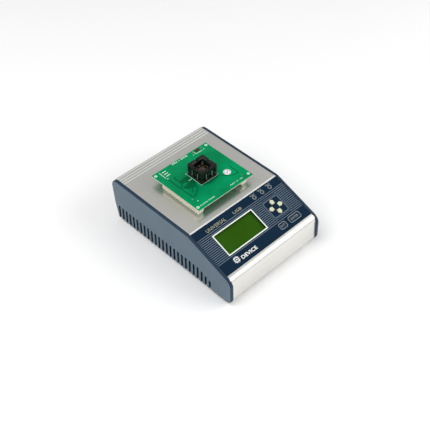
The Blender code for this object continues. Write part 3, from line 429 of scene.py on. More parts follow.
def lettering(words, x, y, width, height, start, end, weight=0.012):
    """Words scaled to fill width by height about (x, y), extruded from start to end."""
    curve = bpy.data.curves.new("words", "FONT")
    curve.body = words
    curve.align_x = "CENTER"
    curve.offset = weight
    curve.resolution_u = 4
    curve.extrude = 0.5
    bm = filled(curve)
    corners = [[f(v.co[k] for v in bm.verts) for k in range(3)] for f in (min, max)]
    size = [b - a for a, b in zip(*corners)]
    middle = [(a + b) / 2 for a, b in zip(*corners)]
    bmesh.ops.translate(bm, vec=[-m for m in middle], verts=bm.verts)
    bmesh.ops.scale(bm, vec=(width / size[0], height / size[1], (end - start) / size[2]), verts=bm.verts)
    bmesh.ops.translate(bm, vec=(x, y, (start + end) / 2), verts=bm.verts)
    return bm


def placed(bm, matrix):
    """The same shape, moved by a matrix."""
    bmesh.ops.transform(bm, matrix=matrix, verts=bm.verts)
    return bm


def merged(*shapes):
    """One bmesh of several, each a bmesh or a (bmesh, material index) pair."""
    whole = bmesh.new()
    for shape in shapes:
        bm, index = shape if isinstance(shape, tuple) else (shape, 0)
        for face in bm.faces:
            face.material_index = index
        mesh = bpy.data.meshes.new("part")
        bm.to_mesh(mesh)
        bm.free()
        whole.from_mesh(mesh)
        bpy.data.meshes.remove(mesh)
    return whole


def box(x0, x1, y0, y1, z0, z1):
    bm = bmesh.new()
    place = Matrix.Translation(((x0 + x1) / 2, (y0 + y1) / 2, (z0 + z1) / 2))
    bmesh.ops.create_cube(bm, size=1.0, matrix=place @ Matrix.Diagonal((x1 - x0, y1 - y0, z1 - z0, 1)))
    return bm


def lathed(profile, sides=32):
    """A closed turned shape about Z from (radius, z) points, the first and last on the axis."""
    bm = bmesh.new()
    rings = []
    for radius, z in profile:
        if radius < 1e-7:
            rings.append([bm.verts.new((0, 0, z))])
        else:
            rings.append([bm.verts.new((*point, z)) for point in circle(0, 0, radius, sides)])
    for a, b in zip(rings, rings[1:]):
        for k in range(sides):
            n = (k + 1) % sides
            loop = [a[k % len(a)], a[n % len(a)], b[n % len(b)], b[k % len(b)]]
            corners = [v for i, v in enumerate(loop) if v not in loop[:i]]
            if len(corners) > 2:
                bm.faces.new(corners)
    return bm


def solid(name, bm, materials, place=IDENTITY):
    """An object at the origin whose mesh is in the frame's own coordinates.

    materials is the short name of one material, or a list of them.
    """
    bmesh.ops.recalc_face_normals(bm, faces=bm.faces)
    mesh = bpy.data.meshes.new(name)
    bm.to_mesh(mesh)
    bm.free()
    mesh.transform(place)
    for material in [materials] if isinstance(materials, str) else materials:
        mesh.materials.append(SURFACES[material])
    made = bpy.data.objects.new(name, mesh)
    bpy.context.scene.collection.objects.link(made)
    return made


def carve(target, bm, place=IDENTITY, operation="DIFFERENCE"):
    """Cuts a shape out of an object, or joins it to it, and applies the result."""
    tool = solid("tool", bm, [])
    tool.data.transform(place)
    modifier = target.modifiers.new("carve", "BOOLEAN")
    modifier.operation = operation
    modifier.solver = "EXACT"
    modifier.material_mode = "TRANSFER" if operation == "UNION" else "INDEX"
    modifier.object = tool
    result = bpy.data.meshes.new_from_object(target.evaluated_get(bpy.context.evaluated_depsgraph_get()))
    target.modifiers.remove(modifier)
    old = target.data
    target.data = result
    bpy.data.meshes.remove(old)
    bpy.data.objects.remove(tool, do_unlink=True)
    return target


def keep(made, body, slot, *hides, bevel=0.0, segments=2, sharp=32):
    """Rounds a piece's edges, smooths it, and hangs it on a body of the frame."""
    if bevel:
        modifier = made.modifiers.new("round", "BEVEL")
        modifier.width = bevel
        modifier.segments = segments
        modifier.limit_method = "ANGLE"
        modifier.angle_limit = math.radians(40)
    made.data.shade_smooth()
    made.data.set_sharp_from_angle(angle=math.radians(180 if bevel else sharp))
    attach(made, body)
    if hides:
        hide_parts(*hides)
    return made


def paint(node, material):
    """Gives a CAD node that stays visible its material."""
    data = frame["nodes"][node].data
    data.materials.clear()
    data.materials.append(SURFACES[material])


# ------------------------------------------------------------------ body

WALL = 2.4 * MM
TRAY_DEPTH = 0.8 * MM
KINK_LIP = 0.2 * MM
REAR_FLANGE = 12.0 * MM
FRONT_FLAT = 2.8 * MM
FRONT_RADIUS = 12.0 * MM
FRONT_LEAN = math.radians(3.0)
TOE_RADIUS = 8.0 * MM
UNDER_Z = 4.6 * MM
TOE_LIP_Y = -121.0 * MM
REAR_Y = high("top_cover").y
EDGE_BAND = 2.3 * MM  # the band of painted highlight at the end of the flat top
EDGE_PROUD = 0.12 * MM
GROOVE_WIDTH = 2.4 * MM
GROOVE_DEPTH = 0.7 * MM
GROOVE_YS = mm(115.6, 121.2, 126.8, 132.4)

LCD_X = mm(-71.0, 17.2)
LCD_S = mm(22.0, 64.4)
LCD_BAND = 2.0 * MM
PAD_X = 56.1 * MM
PAD_S = 43.0 * MM
KEY_S = 75.6 * MM
KEY_HALF_S = 6.0 * MM
KEY_RADIUS = 3.6 * MM
KEY_FLANGE = 0.8 * MM
KEY_SPANS = {"exit": mm(33.0, 49.4), "enter": mm(55.8, 82.0)}
ARROWS = {"up": 0.0, "left": PI_HALF, "down": math.pi, "right": -PI_HALF}
LED_XS = mm(37.4, 55.9, 74.0)
LED_S = 9.6 * MM
LED_RADIUS = 1.75 * MM
LED_RING = mm(3.7, 2.6)
CLEAR = 0.3 * MM


def down_panel(s, height=0.0):
    """The (y, z) of a point s down the slope and a height above it."""
    return KINK_Y - s * COS - height * SIN, TOP_Z - s * SIN + height * COS


def shifted(corners, distance):
    """Moves an open path of (x, y, radius) corners to its left, and tightens its radii to match."""
    points = [Vector(corner[:2]) for corner in corners]
    result = []
    for i, point in enumerate(points):
        ahead = (points[i + 1] - point).normalized() if i + 1 < len(points) else None
        behind = (point - points[i - 1]).normalized() if i else ahead
        ahead = ahead or behind
        left = Vector((-(ahead + behind).y, (ahead + behind).x)).normalized()
        place = point + left * (distance / left.dot(Vector((-ahead.y, ahead.x))))
        result.append((place.x, place.y, max(corners[i][2] - distance, 0.0)))
    return result


def body_path():
    """The extrusion's outer path in (y, z), from the rear flange over the top to the toe."""
    turn = PI_HALF - PANEL_ANGLE - FRONT_LEAN
    brow = down_panel(PANEL_LENGTH + FRONT_FLAT + FRONT_RADIUS * math.tan(turn / 2))
    toe_y = brow[0] - (brow[1] - UNDER_Z) * math.tan(FRONT_LEAN)
    return [
        (REAR_Y, TOP_Z - REAR_FLANGE, 0.0),
        (REAR_Y, TOP_Z, 1.2 * MM),
        (KINK_Y, TOP_Z, 0.0),
        (*brow, FRONT_RADIUS),
        (toe_y, UNDER_Z, TOE_RADIUS),
        (TOE_LIP_Y, UNDER_Z, 0.0),
    ]


def arrow_outline(angle, grow=0.0, radius=0.5 * MM):
    """An arrow key's outline in panel axes, turned by angle about the pad's centre."""
    tail, half = 3.5 * MM + grow, 4.2 * MM + grow
    shoulder = 11.4 * MM + grow * 0.4
    points = [
        (-tail, 5.6 * MM - grow),
        (tail, 5.6 * MM - grow),
        (half, shoulder),
        (0.0, 15.4 * MM + grow * 1.4),
        (-half, shoulder),
    ]
    outline = rounded([(x, y, radius) for x, y in points], 4)
    c, s = math.cos(angle), math.sin(angle)
    return [(PAD_X + x * c - y * s, -PAD_S + x * s + y * c) for x, y in outline]


def key_outline(span, grow=0.0):
    edges = -KEY_S - KEY_HALF_S - grow, -KEY_S + KEY_HALF_S + grow
    return rectangle(span[0] - grow, span[1] + grow, *edges, KEY_RADIUS + grow, 8)


def panel_holes():
    rings = [rectangle(LCD_X[0] - CLEAR, LCD_X[1] + CLEAR, -LCD_S[1] - CLEAR, -LCD_S[0] + CLEAR)]
    rings += [arrow_outline(angle, CLEAR) for angle in ARROWS.values()]
    rings += [key_outline(span, CLEAR) for span in KEY_SPANS.values()]
    rings += [circle(x, -LED_S, LED_RADIUS + CLEAR, 28) for x in LED_XS]
    return rings


def make_cover():
    """The extruded body: a band of painted highlight ends its flat top, and a shallow tray holds the
    membrane.
    """
    path = body_path()
    section = rounded(path, 14, closed=False) + rounded(shifted(path, WALL), 14, closed=False)[::-1]
    cover = solid("body_extrusion", extruded([section], -BODY_HALF, BODY_HALF), "aluminium", ALONG_X)
    over = BODY_HALF + MARGIN
    carve(cover, box(-over, over, -PANEL_LENGTH, -KINK_LIP, -TRAY_DEPTH, 3 * MM), PANEL)
    carve(cover, extruded(panel_holes(), -6 * MM, 2 * MM), PANEL)
    cuts = []
    for y in GROOVE_YS:
        start, end = y - GROOVE_WIDTH / 2, y + GROOVE_WIDTH / 2
        floor_z, above = TOP_Z - GROOVE_DEPTH, TOP_Z + MARGIN
        groove = [(start, above), (start, floor_z), (y, floor_z), (end, TOP_Z), (end, above)]
        cuts.append(placed(extruded([groove], -over, over), ALONG_X))
    for side in ("left", "right"):
        a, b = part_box(f"receptacle_{side}")
        cuts.append(box(a.x - CLEAR, b.x + CLEAR, a.y - CLEAR, b.y + CLEAR, TOP_Z - 2 * WALL, TOP_Z + MARGIN))
    carve(cover, merged(*cuts))
    for material in ("bright", "groove", "groove_side"):
        cover.data.materials.append(SURFACES[material])
    # Faces in the band at the kink take the painted highlight. In the grooves, floors take painted shade and
    # front-facing slopes take painted highlight.
    for face in cover.data.polygons:
        y, z = face.center.y, face.center.z
        in_highlight_band = KINK_Y - MARGIN < y < KINK_Y and z > TOP_Z - 0.5 * MM
        near_grooves = GROOVE_YS[0] - MARGIN < y < GROOVE_YS[-1] + MARGIN
        in_groove = near_grooves and TOP_Z - MARGIN < z < TOP_Z - 0.1 * MM
        slopes = -0.9 < face.normal.y < -0.2
        face.material_index = 1 if in_highlight_band else 0
        if in_groove:
            face.material_index = 3 if slopes else 2
    keep(cover, "case", "brushed_aluminium", "top_cover", sharp=28)
    # A slightly raised strip along the kink, coloured with the near-white painted highlight.
    lip = [(EDGE_BAND, 0.0), (EDGE_BAND - 0.2 * MM, EDGE_PROUD), (0.0, EDGE_PROUD)]
    lip = moved(lip + [(0.0, -0.1 * MM), (EDGE_BAND, -0.1 * MM)], KINK_Y, TOP_Z)
    strip = solid("edge_painted_highlight", extruded([lip], -BODY_HALF, BODY_HALF), "bright", ALONG_X)
    keep(strip, "case", "brushed_aluminium")


CHEEK_X = low("right_cheek").x
CHEEK_THICK = high("right_cheek").x - CHEEK_X
CHEEK_PROUD = 0.8 * MM
CHEEK_FRONT_Y = -143.0 * MM
CHEEK_FRONT_LEAN = 1.6 * MM  # its front edge leans back by this, from bottom to top
CHEEK_TOE_RADIUS, CHEEK_BROW_RADIUS, CHEEK_KINK_RADIUS = mm(12, 17, 24)
CHEEK_REAR = [mm(144.2, 15), mm(139.2, 25), mm(131.9, 3)]  # (y, radius) going down
CHEEK_REAR_BEND_Z = 34.0 * MM
CHEEK_UNDER_Z = 3.0 * MM
CHEEK_RIM = 2.2 * MM
VENT_COUNT = 25
VENT_PITCH = 9.25 * MM
VENT_FIRST_Y = 127.3 * MM
VENT_WIDTH = 4.6 * MM
VENT_TOP_Z = 33.0 * MM
VENT_LEVEL_COUNT = 22  # the vents in front of these get shorter
RECESS_DEPTH = 2.6 * MM  # the hollow behind the vents
RECESS_DROP = 4.5 * MM  # its top lies this far below theirs
LINER_SPAN = mm(0.05, 0.25)  # how far inside the cheek's inner face the liner lies


def cheek_outline():
    """The cheek's side view in (y, z), without its vents."""
    top = TOP_Z + CHEEK_PROUD
    front_y = CHEEK_FRONT_Y + CHEEK_FRONT_LEAN
    corners = [
        (CHEEK_FRONT_Y, CHEEK_UNDER_Z, CHEEK_TOE_RADIUS),
        (front_y, top - (KINK_Y - front_y) * math.tan(PANEL_ANGLE), CHEEK_BROW_RADIUS),
        (KINK_Y, top, CHEEK_KINK_RADIUS),
    ]
    heights = (top, CHEEK_REAR_BEND_Z, CHEEK_UNDER_Z)
    corners += [(y, z, radius) for (y, radius), z in zip(CHEEK_REAR, heights)]
    return rounded(corners, 12)


def vent_top(index):
    steps_down = max(index + 1 - VENT_LEVEL_COUNT, 0)
    return VENT_TOP_Z - steps_down * VENT_PITCH * math.tan(PANEL_ANGLE)


def vent_outline(index):
    """A vent in (y, z): round at its top, and open below the cheek's edge."""
    y = VENT_FIRST_Y - index * VENT_PITCH
    radius = VENT_WIDTH / 2
    arch = circle(y, vent_top(index) - radius, radius, 20)[:11]
    return [(y + radius, CHEEK_UNDER_Z - 2 * MM), *arch, (y - radius, CHEEK_UNDER_Z - 2 * MM)]


def make_cheek(name, side, node):
    """An end cheek, made lying down and stood up on its side of the body, and its vents' liner."""
    bm = extruded([cheek_outline()], 0.0, CHEEK_THICK)
    bmesh.ops.dissolve_limit(bm, angle_limit=0.01, verts=bm.verts, edges=bm.edges)
    rim = [e for e in bm.edges if all(v.co.z > CHEEK_THICK - 0.01 * MM for v in e.verts)]
    bmesh.ops.bevel(
        bm, geom=rim, offset=CHEEK_RIM, segments=6, profile=0.5, affect="EDGES", clamp_overlap=False
    )
    cheek = solid(name, bm, ["cheek", "rim"])
    for index in range(VENT_COUNT):
        carve(cheek, extruded([vent_outline(index)], -MARGIN, CHEEK_THICK + MARGIN))
    last = VENT_FIRST_Y - (VENT_COUNT - 1) * VENT_PITCH
    level = VENT_FIRST_Y - (VENT_LEVEL_COUNT - 1) * VENT_PITCH
    reach = VENT_WIDTH / 2 + 0.8 * MM
    recess = [
        (last - reach, CHEEK_UNDER_Z + 3 * MM),
        (VENT_FIRST_Y + reach, CHEEK_UNDER_Z + 3 * MM),
        (VENT_FIRST_Y + reach, VENT_TOP_Z - RECESS_DROP),
        (level, VENT_TOP_Z - RECESS_DROP),
        (last - reach, vent_top(VENT_COUNT - 1) - RECESS_DROP),
    ]
    carve(cheek, extruded([recess], -MARGIN, RECESS_DEPTH))
    for face in cheek.data.polygons:
        is_outer = face.normal.z > 0.97 and face.center.z > CHEEK_THICK - 0.2 * MM
        face.material_index = 0 if is_outer else 1
    place = Matrix.Translation((side * CHEEK_X, 0, 0)) @ Matrix.Diagonal((side, 1, 1, 1)) @ ALONG_X
    cheek.data.transform(place)
    if side < 0:
        cheek.data.flip_normals()
    keep(cheek, "case", "cheek_plastic", node, sharp=25)
    liner = [(y, z + MARGIN if z > VENT_TOP_Z / 4 else z - 2 * MARGIN) for y, z in recess]
    place = Matrix.Translation((side * CHEEK_X, 0, 0)) @ ALONG_X
    ends = sorted((-side * LINER_SPAN[0], -side * LINER_SPAN[1]))
    keep(solid(f"vent_liner_{name}", extruded([liner], *ends), "liner", place), "case", "cheek_plastic")


def make_case():
    make_cover()
    make_cheek("right_end_cheek", 1, "right_cheek")
    make_cheek("left_end_cheek", -1, "left_cheek")


# ------------------------------------------------------------------ membrane panel

OVERLAY_HALF = BODY_HALF - 0.5 * MM
STRIPE_FIRST_S = 16.5 * MM
STRIPE_PITCH = 3.34 * MM
STRIPE_COUNT = 16
STRIPE_WIDTH = 0.85 * MM
PAD_RING = mm(20.8, 20.4, 5.0)  # half width, half height and corner cut


def octagon(inset):
    """The keypad's ring outline in panel axes, moved inwards by inset."""
    w, h, c = PAD_RING[0] - inset, PAD_RING[1] - inset, PAD_RING[2] - inset * 0.586
    right = [(w - c, h), (w, h - c), (w, c - h), (w - c, -h)]
    left = [(-x, -y) for x, y in right]
    outline = rounded([(x, y, 0.5 * MM) for x, y in right + left], 4)
    return moved(outline, PAD_X, -PAD_S)


def stripe_spans(s):
    """The stretches of a stripe at s that the display and the keypad leave clear."""
    stops = []
    if LCD_S[0] - STRIPE_WIDTH / 2 < s < LCD_S[1] + STRIPE_WIDTH / 2:
        stops.append((LCD_X[0] - 0.35 * MM, LCD_X[1] + 0.35 * MM))
    off = abs(s - PAD_S)
    if off < PAD_RING[1]:
        half = PAD_RING[0] - max(off - (PAD_RING[1] - PAD_RING[2]), 0.0) + 0.1 * MM
        stops.append((PAD_X - half, PAD_X + half))
    edges = [-OVERLAY_HALF, *(x for stop in stops for x in stop), OVERLAY_HALF]
    return list(zip(edges[::2], edges[1::2]))


def on_panel(name, bm, material, slot, body="case"):
    keep(solid(name, bm, material, PANEL), body, slot)


def make_overlay():
    """The membrane sheet with its openings, and all that is printed on it."""
    sheet = rectangle(-OVERLAY_HALF, OVERLAY_HALF, -PANEL_LENGTH + CLEAR, -OVERLAY_START, 0.4 * MM)
    bm = extruded([sheet, *panel_holes()], OVERLAY_UNDER, OVERLAY_TOP)
    keep(solid("membrane_sheet", bm, "membrane", PANEL), "case", "membrane", "panel_overlay")
    base, top = OVERLAY_TOP - PRINT_ROOT, OVERLAY_TOP + PRINT
    stripes = []
    for k in range(STRIPE_COUNT):
        s = STRIPE_FIRST_S + k * STRIPE_PITCH
        for a, b in stripe_spans(s):
            stripes.append(box(a, b, -s - STRIPE_WIDTH / 2, -s + STRIPE_WIDTH / 2, base, top))
    on_panel("membrane_stripes", merged(*stripes), "print_stripe", "membrane")
    inner = rectangle(PAD_X - 15.3 * MM, PAD_X + 15.3 * MM, -PAD_S - 14.9 * MM, -PAD_S + 14.9 * MM, 2.4 * MM)
    rings = merged(
        extruded([octagon(0.0), octagon(1.1 * MM)], base, top),
        extruded([octagon(2.5 * MM), inner], base, top),
    )
    on_panel("keypad_ring", rings, "print_frame", "membrane")
    leds = [extruded([circle(x, -LED_S, radius, 40) for radius in LED_RING], base, top) for x in LED_XS]
    words = [("POWER", 37.3, 10.0), ("BUSY", 54.5, 9.0), ("READY", 73.8, 10.5)]
    for text, x, width in words:
        leds.append(lettering(text, x * MM, -4.3 * MM, width * MM, 2.7 * MM, base, top))
    on_panel("indicator_prints", merged(*leds), "print_grey", "membrane")
    title = lettering("UNIVERSAL", *mm(-51.6, -10.9, 42.0, 6.0), base, top, -0.01)
    port = lettering("USB", *mm(-3.8, -10.95, 18.4, 5.0), base, top, -0.01)
    on_panel("title_print", merged(title, port), "print_olive", "membrane")
    word = lettering("DEVICE", *mm(-39.5, -77.9, 33.5, 6.3), base, top, 0.02)
    mark = chip_mark(-65.4 * MM, -75.5 * MM, base, top)
    on_panel("lower_print", merged(word, mark), "print_white", "membrane")


def chip_mark(x, y, base, top):
    """A plain pictogram of a chip: a frame with four pins to a side and a dot."""
    half = 4.0 * MM
    rings = [moved(square(half, 0.6 * MM), x, y), moved(square(half - 1.2 * MM, 0.3 * MM), x, y)]
    frame_ring = extruded(rings, base, top)
    shapes = [frame_ring, extruded([circle(x, y, 1.3 * MM)], base, top)]
    for k in range(3):
        off = (k - 1) * 2.6 * MM
        for a, b in ((half, half + 1.6 * MM), (-half - 1.6 * MM, -half)):
            shapes.append(box(x + a, x + b, y + off - 0.45 * MM, y + off + 0.45 * MM, base, top))
            shapes.append(box(x + off - 0.45 * MM, x + off + 0.45 * MM, y + a, y + b, base, top))
    return merged(*shapes)


def make_display():
    """The white bezel, and the walls that go down from it to the glass, coloured near-black as painted shade
    in the recess.
    """
    outer = rectangle(*LCD_X, -LCD_S[1], -LCD_S[0], 0.8 * MM)
    band_in = (LCD_X[0] + LCD_BAND, LCD_X[1] - LCD_BAND, -LCD_S[1] + LCD_BAND, -LCD_S[0] - LCD_BAND)
    inner = rectangle(*band_in, 0.5 * MM)
    face = solid("display_frame", extruded([outer, inner], OVERLAY_TOP, 0.25 * MM), "bezel", PANEL)
    keep(face, "case", "bezel_white", "lcd_bezel", bevel=0.2 * MM, segments=3)
    well = extruded([outer, inner], -3.7 * MM, OVERLAY_TOP - 0.02 * MM)
    on_panel("display_well", well, "well", "black_plastic")
    paint("lcd_glass", "display")


def make_keys():
    """Keys with a flange each, which the cover's underside holds in."""
    under = -WALL - CLEAR - KEY_FLANGE
    for name, angle in ARROWS.items():
        cap = extruded([arrow_outline(angle, -0.4 * MM)], under + 0.4 * MM, 0.6 * MM)
        flange = extruded([arrow_outline(angle, 0.7 * MM)], under, under + KEY_FLANGE)
        key = solid(f"arrow_cap_{name}", merged(cap, flange), "key", PANEL)
        keep(key, f"key_{name}", "key_cream", f"key_{name}", bevel=0.45 * MM, segments=4)
    words = {"exit": ("EXIT", 10.0, 4.2), "enter": ("ENTER", 17.0, 4.4)}
    for name, span in KEY_SPANS.items():
        top = 0.1 * MM
        cap = extruded([key_outline(span)], under + 0.4 * MM, top)
        flange = extruded([key_outline(span, 0.8 * MM)], under, under + KEY_FLANGE)
        key = solid(f"flat_key_{name}", merged(cap, flange), "membrane", PANEL)
        keep(key, f"key_{name}", "membrane", f"key_{name}", bevel=0.12 * MM)
        base, raised = top - PRINT_ROOT, top + PRINT
        text, width, height = words[name]
        middle = (span[0] + span[1]) / 2
        label = lettering(text, middle, -KEY_S, width * MM, height * MM, base, raised, 0.0)
        ring = extruded([key_outline(span, -0.2 * MM), key_outline(span, -1.2 * MM)], base, raised)
        on_panel(f"key_print_{name}", merged(ring, label), "print_grey", "membrane", f"key_{name}")


def make_leds():
    lens = [(0.0, -0.15), (0.7, -0.2), (1.2, -0.36), (1.5, -0.6), (1.65, -0.95), (1.65, -3.2), (2.4, -3.2)]
    foot = -8.1
    for number, x in enumerate(LED_XS, 1):
        profile = [(r * MM, z * MM) for r, z in [*lens, (2.4, foot), (0.0, foot)]]
        place = PANEL @ Matrix.Translation((x, -LED_S, 0))
        led = solid(f"indicator_lens_{number}", lathed(profile), "lens", place)
        keep(led, "case", "led_smoke", f"status_led_{number}", sharp=40)


# ------------------------------------------------------------------ adapter board

HOLE_X = 57.3 * MM
HOLE_RADIUS = 1.25 * MM
HOLE_YS = mm(-17.7, 83.7)
HOLES = [(side * HOLE_X, y) for side in (-1, 1) for y in HOLE_YS]
SILK = 0.04 * MM  # height of a white print above the board
PIN_PITCH = 2.54 * MM
SLOT_DEPTH = 8.0 * MM  # of a receptacle


def on_board(name, bm, material, slot):
    keep(solid(name, bm, material, BOARD), "adapter", slot)


def board_text(words, x, y, width, height):
    return lettering(words, x * MM, y * MM, width * MM, height * MM, -PRINT_ROOT, SILK, 0.01)


def board_box(x0, x1, y0, y1, top=SILK):
    return box(*mm(x0, x1, y0, y1), -PRINT_ROOT, top)


def board_print(*rings, top=SILK):
    return extruded(rings, -PRINT_ROOT, top)


def board_path(points, width):
    return board_print(band([mm(*point) for point in points], width * MM), top=0.02 * MM)


def make_adapter_board():
    a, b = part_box("adapter_board")
    outline = rectangle(a.x, b.x, a.y, b.y, 0.8 * MM)
    rings = [outline, *(circle(x, y + BOARD_Y, HOLE_RADIUS, 28) for x, y in HOLES)]
    board = solid("adapter_plate", extruded(rings, a.z, b.z), "board")
    keep(board, "adapter", "pcb_green", "adapter_board", bevel=0.12 * MM)
    pads = [board_print(circle(x, y, 2.5 * MM), circle(x, y, HOLE_RADIUS, 28)) for x, y in HOLES]
    on_board("mounting_pads", merged(*pads), "silk", "label_white")


def make_silk():
    """White prints: corner legends, the jumper legend, the outline round the socket."""
    shapes = [
        board_text("ADAPTER  BOARD", -36.8, -17.6, 32.5, 2.2),
        board_text("REV A  01", 29.5, -17.4, 28.0, 2.0),
        board_text("PIN 1 SIDE", -1.5, 86.6, 34.0, 3.8),
        board_box(-48.9, -47.9, 69.0, 85.5),
        board_box(-26.0, -17.6, 37.6, 38.5),
    ]
    for y in (82.6, 77.0, 71.6):
        shapes.append(board_box(-44.6, -36.4, y - 0.7, y + 0.7))
    corners = [(-17.7, 15.5), (20.5, 15.5), (20.5, 54.0), (-17.7, 54.0), (-17.7, 15.5)]
    for (x0, y0), (x1, y1) in zip(corners, corners[1:]):
        shapes.append(board_box(min(x0, x1) - 0.2, max(x0, x1) + 0.2, min(y0, y1) - 0.2, max(y0, y1) + 0.2))
    for x0, x1, y0, y1 in ((30.0, 43.5, 78.3, 79.1), (29.0, 29.8, 78.5, 87.0), (46.0, 48.6, 78.6, 79.8)):
        shapes.append(board_box(x0, x1, y0, y1))
    dots = [(-46.8, 65.5, 1.1), (-47.0, -6.5, 0.9), (-51.5, 2.0, 0.6), (-18.0, 53.5, 0.8), (24.5, 79.5, 0.8)]
    for x, y, radius in dots:
        shapes.append(board_print(circle(*mm(x, y, radius))))
    on_board("board_legends", merged(*shapes), "silk", "label_white")
    bare = [board_box(-47.2, -45.0, y - 1.1, y + 1.1, 0.06 * MM) for y in (82.6, 77.0, 71.6)]
    bare.append(board_print(circle(*mm(47.5, -12, 1.2))))
    on_board("bare_pads", merged(*bare), "copper", "gold_contact")


def make_traces_and_shadow():
    """Copper under the solder mask, a little darker than the rest, and fills beside the socket that paint its
    shadow in the same darker green.
    """
    paths = [
        ([(-47.5, 64), (-47.5, 30), (-47.0, 8), (-45.0, 4.6), (-41.0, 4.6), (-24.0, 17.5)], 2.3),
        ([(-46.0, 34), (-38.0, 40), (-31.0, 42), (-20.0, 37.0)], 2.1),
        ([(-36.0, 62), (-38.5, 56), (-38.0, 49), (-33.0, 43.5)], 2.2),
        ([(-38.5, 14), (-34.5, 20), (-22.0, 27.5)], 2.0),
        ([(-39.5, 25), (-34.0, 31), (-24.0, 32.5), (-17.0, 32.5)], 2.1),
        ([(20.0, 14), (26.0, 6.0), (33.5, -0.6), (40.0, -3.4), (48.0, -3.4), (48.2, 19.0)], 1.8),
        ([(-14.0, 14.5), (-4.0, 10.5), (12.0, 12.0)], 2.0),
    ]
    shapes = [board_path(points, width) for points, width in paths]
    shapes.append(board_print(circle(*mm(-35.6, 44.5, 4.2)), top=0.018 * MM))
    # Fills left of the socket: painted shadow of the socket, lying over the traces there.
    socket_shadow_fills = [
        [(-33, 45), (-19, 50), (-19, 24), (-29, 33)],
        [(-46, 32), (-40, 24), (-24, 18), (-18, 36)],
        [(-40, 46), (-30, 38), (-20, 38), (-24, 50)],
    ]
    for k, fill in enumerate(socket_shadow_fills):
        shapes.append(board_print([mm(*point) for point in fill], top=(0.015 + 0.001 * k) * MM))
    shapes.append(board_print(rectangle(*mm(-17.4, 20.3, 12.0, 55.6, 3)), top=0.014 * MM))
    on_board("board_traces_and_shadow", merged(*shapes), "trace", "pcb_green")


def make_identity_chip():
    """A small chip with its leads, and a resistor at each end of it."""
    a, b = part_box("adapter_chip")
    body = solid("identity_chip", box(a.x, b.x, a.y + 0.5 * MM, b.y - 0.5 * MM, a.z, b.z), "chip")
    keep(body, "adapter", "black_plastic", "adapter_chip", bevel=0.3 * MM)
    leads = []
    for k in range(4):
        x = a.x + (k + 0.5) * (b.x - a.x) / 4
        for edge, side in ((a.y + 0.5 * MM, -1), (b.y - 0.5 * MM, 1)):
            for span, rise in (((-0.3, 0.6), (0.9, 1.15)), ((0.45, 0.7), (0.02, 1.1))):
                ends = sorted(edge + side * reach for reach in mm(*span))
                heights = [BOARD_TOP + z for z in mm(*rise)]
                leads.append(box(x - 0.35 * MM, x + 0.35 * MM, *ends, *heights))
    keep(solid("identity_leads", merged(*leads), "tin"), "adapter", "zinc_steel")
    small = []
    for x, y in ((27.6, 84.5), (46.6, 84.3)):
        for dx in (-1.1, 1.1):
            small.append((box(*mm(x + dx - 0.4, x + dx + 0.4, y - 0.7, y + 0.7, 0, 0.7)), 1))
        small.append((box(*mm(x - 0.8, x + 0.8, y - 0.65, y + 0.65, 0, 0.75)), 0))
    keep(solid("chip_resistors", merged(*small), ["chip", "tin"], BOARD), "adapter", "black_plastic")


def make_label():
    """The round paper label, with a ring and a tick printed on it."""
    a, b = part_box("round_label")
    centre = (a + b) / 2
    radius = (b.x - a.x) / 2
    disc = extruded([circle(centre.x, centre.y, radius, 64)], a.z, b.z)
    label = solid("inspection_label", disc, "paper")
    keep(label, "adapter", "label_white", "round_label", bevel=0.06 * MM)
    tick = band([mm(-2.6, 0.2), mm(-0.6, -2.0), mm(3.0, 2.6)], 0.9 * MM)
    ring = [circle(centre.x, centre.y, radius, 48) for radius in mm(5.4, 4.8)]
    rise = (-PRINT_ROOT, 0.03 * MM)
    marks = merged(extruded([moved(tick, centre.x, centre.y)], *rise), extruded(ring, *rise))
    place = Matrix.Translation((0, 0, b.z))
    keep(solid("label_mark", marks, "print_frame", place), "adapter", "label_white")


def notch(x, inner_x, start, end):
    """The points of a notch in an edge at x, between start and end along it."""
    return [(x, start), (inner_x, start), (inner_x, end), (x, end)]


def comb_outline(x0, x1, y0, y1, pitch, depth, width):
    """A long rectangle with shallow notches along both long sides."""
    count = int((y1 - y0 - pitch) / pitch)
    start = (y0 + y1) / 2 - (count - 1) * pitch / 2
    right, left = [(x1, y0)], [(x0, y1)]
    for k in range(count):
        y = start + k * pitch
        right += notch(x1, x1 - depth, y - width / 2, y + width / 2)
        y = start + (count - 1 - k) * pitch
        left += notch(x0, x0 + depth, y + width / 2, y - width / 2)
    return right + [(x1, y1)] + left + [(x0, y0)]


def make_connectors():
    """The adapter's two plugs and the receptacles that they stand in."""
    for side in ("left", "right"):
        a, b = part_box(f"adapter_plug_{side}")
        low_z = high(f"receptacle_{side}").z + CLEAR
        middle = (a.x + b.x) / 2
        body = extruded([comb_outline(a.x, b.x, a.y, b.y, PIN_PITCH, *mm(0.35, 0.9))], low_z, b.z)
        tongue = (middle - 1.4 * MM, middle + 1.4 * MM, a.y + 3.5 * MM, b.y - 3.5 * MM)
        blades = [body, box(*tongue, a.z, low_z + 0.5 * MM)]
        rise = (a.z + 0.6 * MM, low_z - 0.2 * MM)
        y = a.y + 6 * MM
        while y < b.y - 5 * MM:
            blades.append((box(middle - 1.5 * MM, middle + 1.5 * MM, y, y + 1.2 * MM, *rise), 1))
            y += PIN_PITCH
        plug = solid(f"plug_block_{side}", merged(*blades), ["ivory", "contact"])
        keep(plug, "adapter", "ivory_plastic", f"adapter_plug_{side}")
        a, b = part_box(f"receptacle_{side}")
        outline = comb_outline(a.x, b.x, a.y, b.y, 2 * PIN_PITCH, *mm(0.3, 1.2))
        slot = rectangle(middle - 1.7 * MM, middle + 1.7 * MM, a.y + 3.2 * MM, b.y - 3.2 * MM)
        shell = extruded([outline, slot], b.z - SLOT_DEPTH, b.z)
        floor = extruded([outline], a.z, b.z - SLOT_DEPTH)
        holder = solid(f"receptacle_block_{side}", merged(shell, floor), "receptacle")
        keep(holder, "case", "receptacle_grey", f"receptacle_{side}")


# ------------------------------------------------------------------ test socket

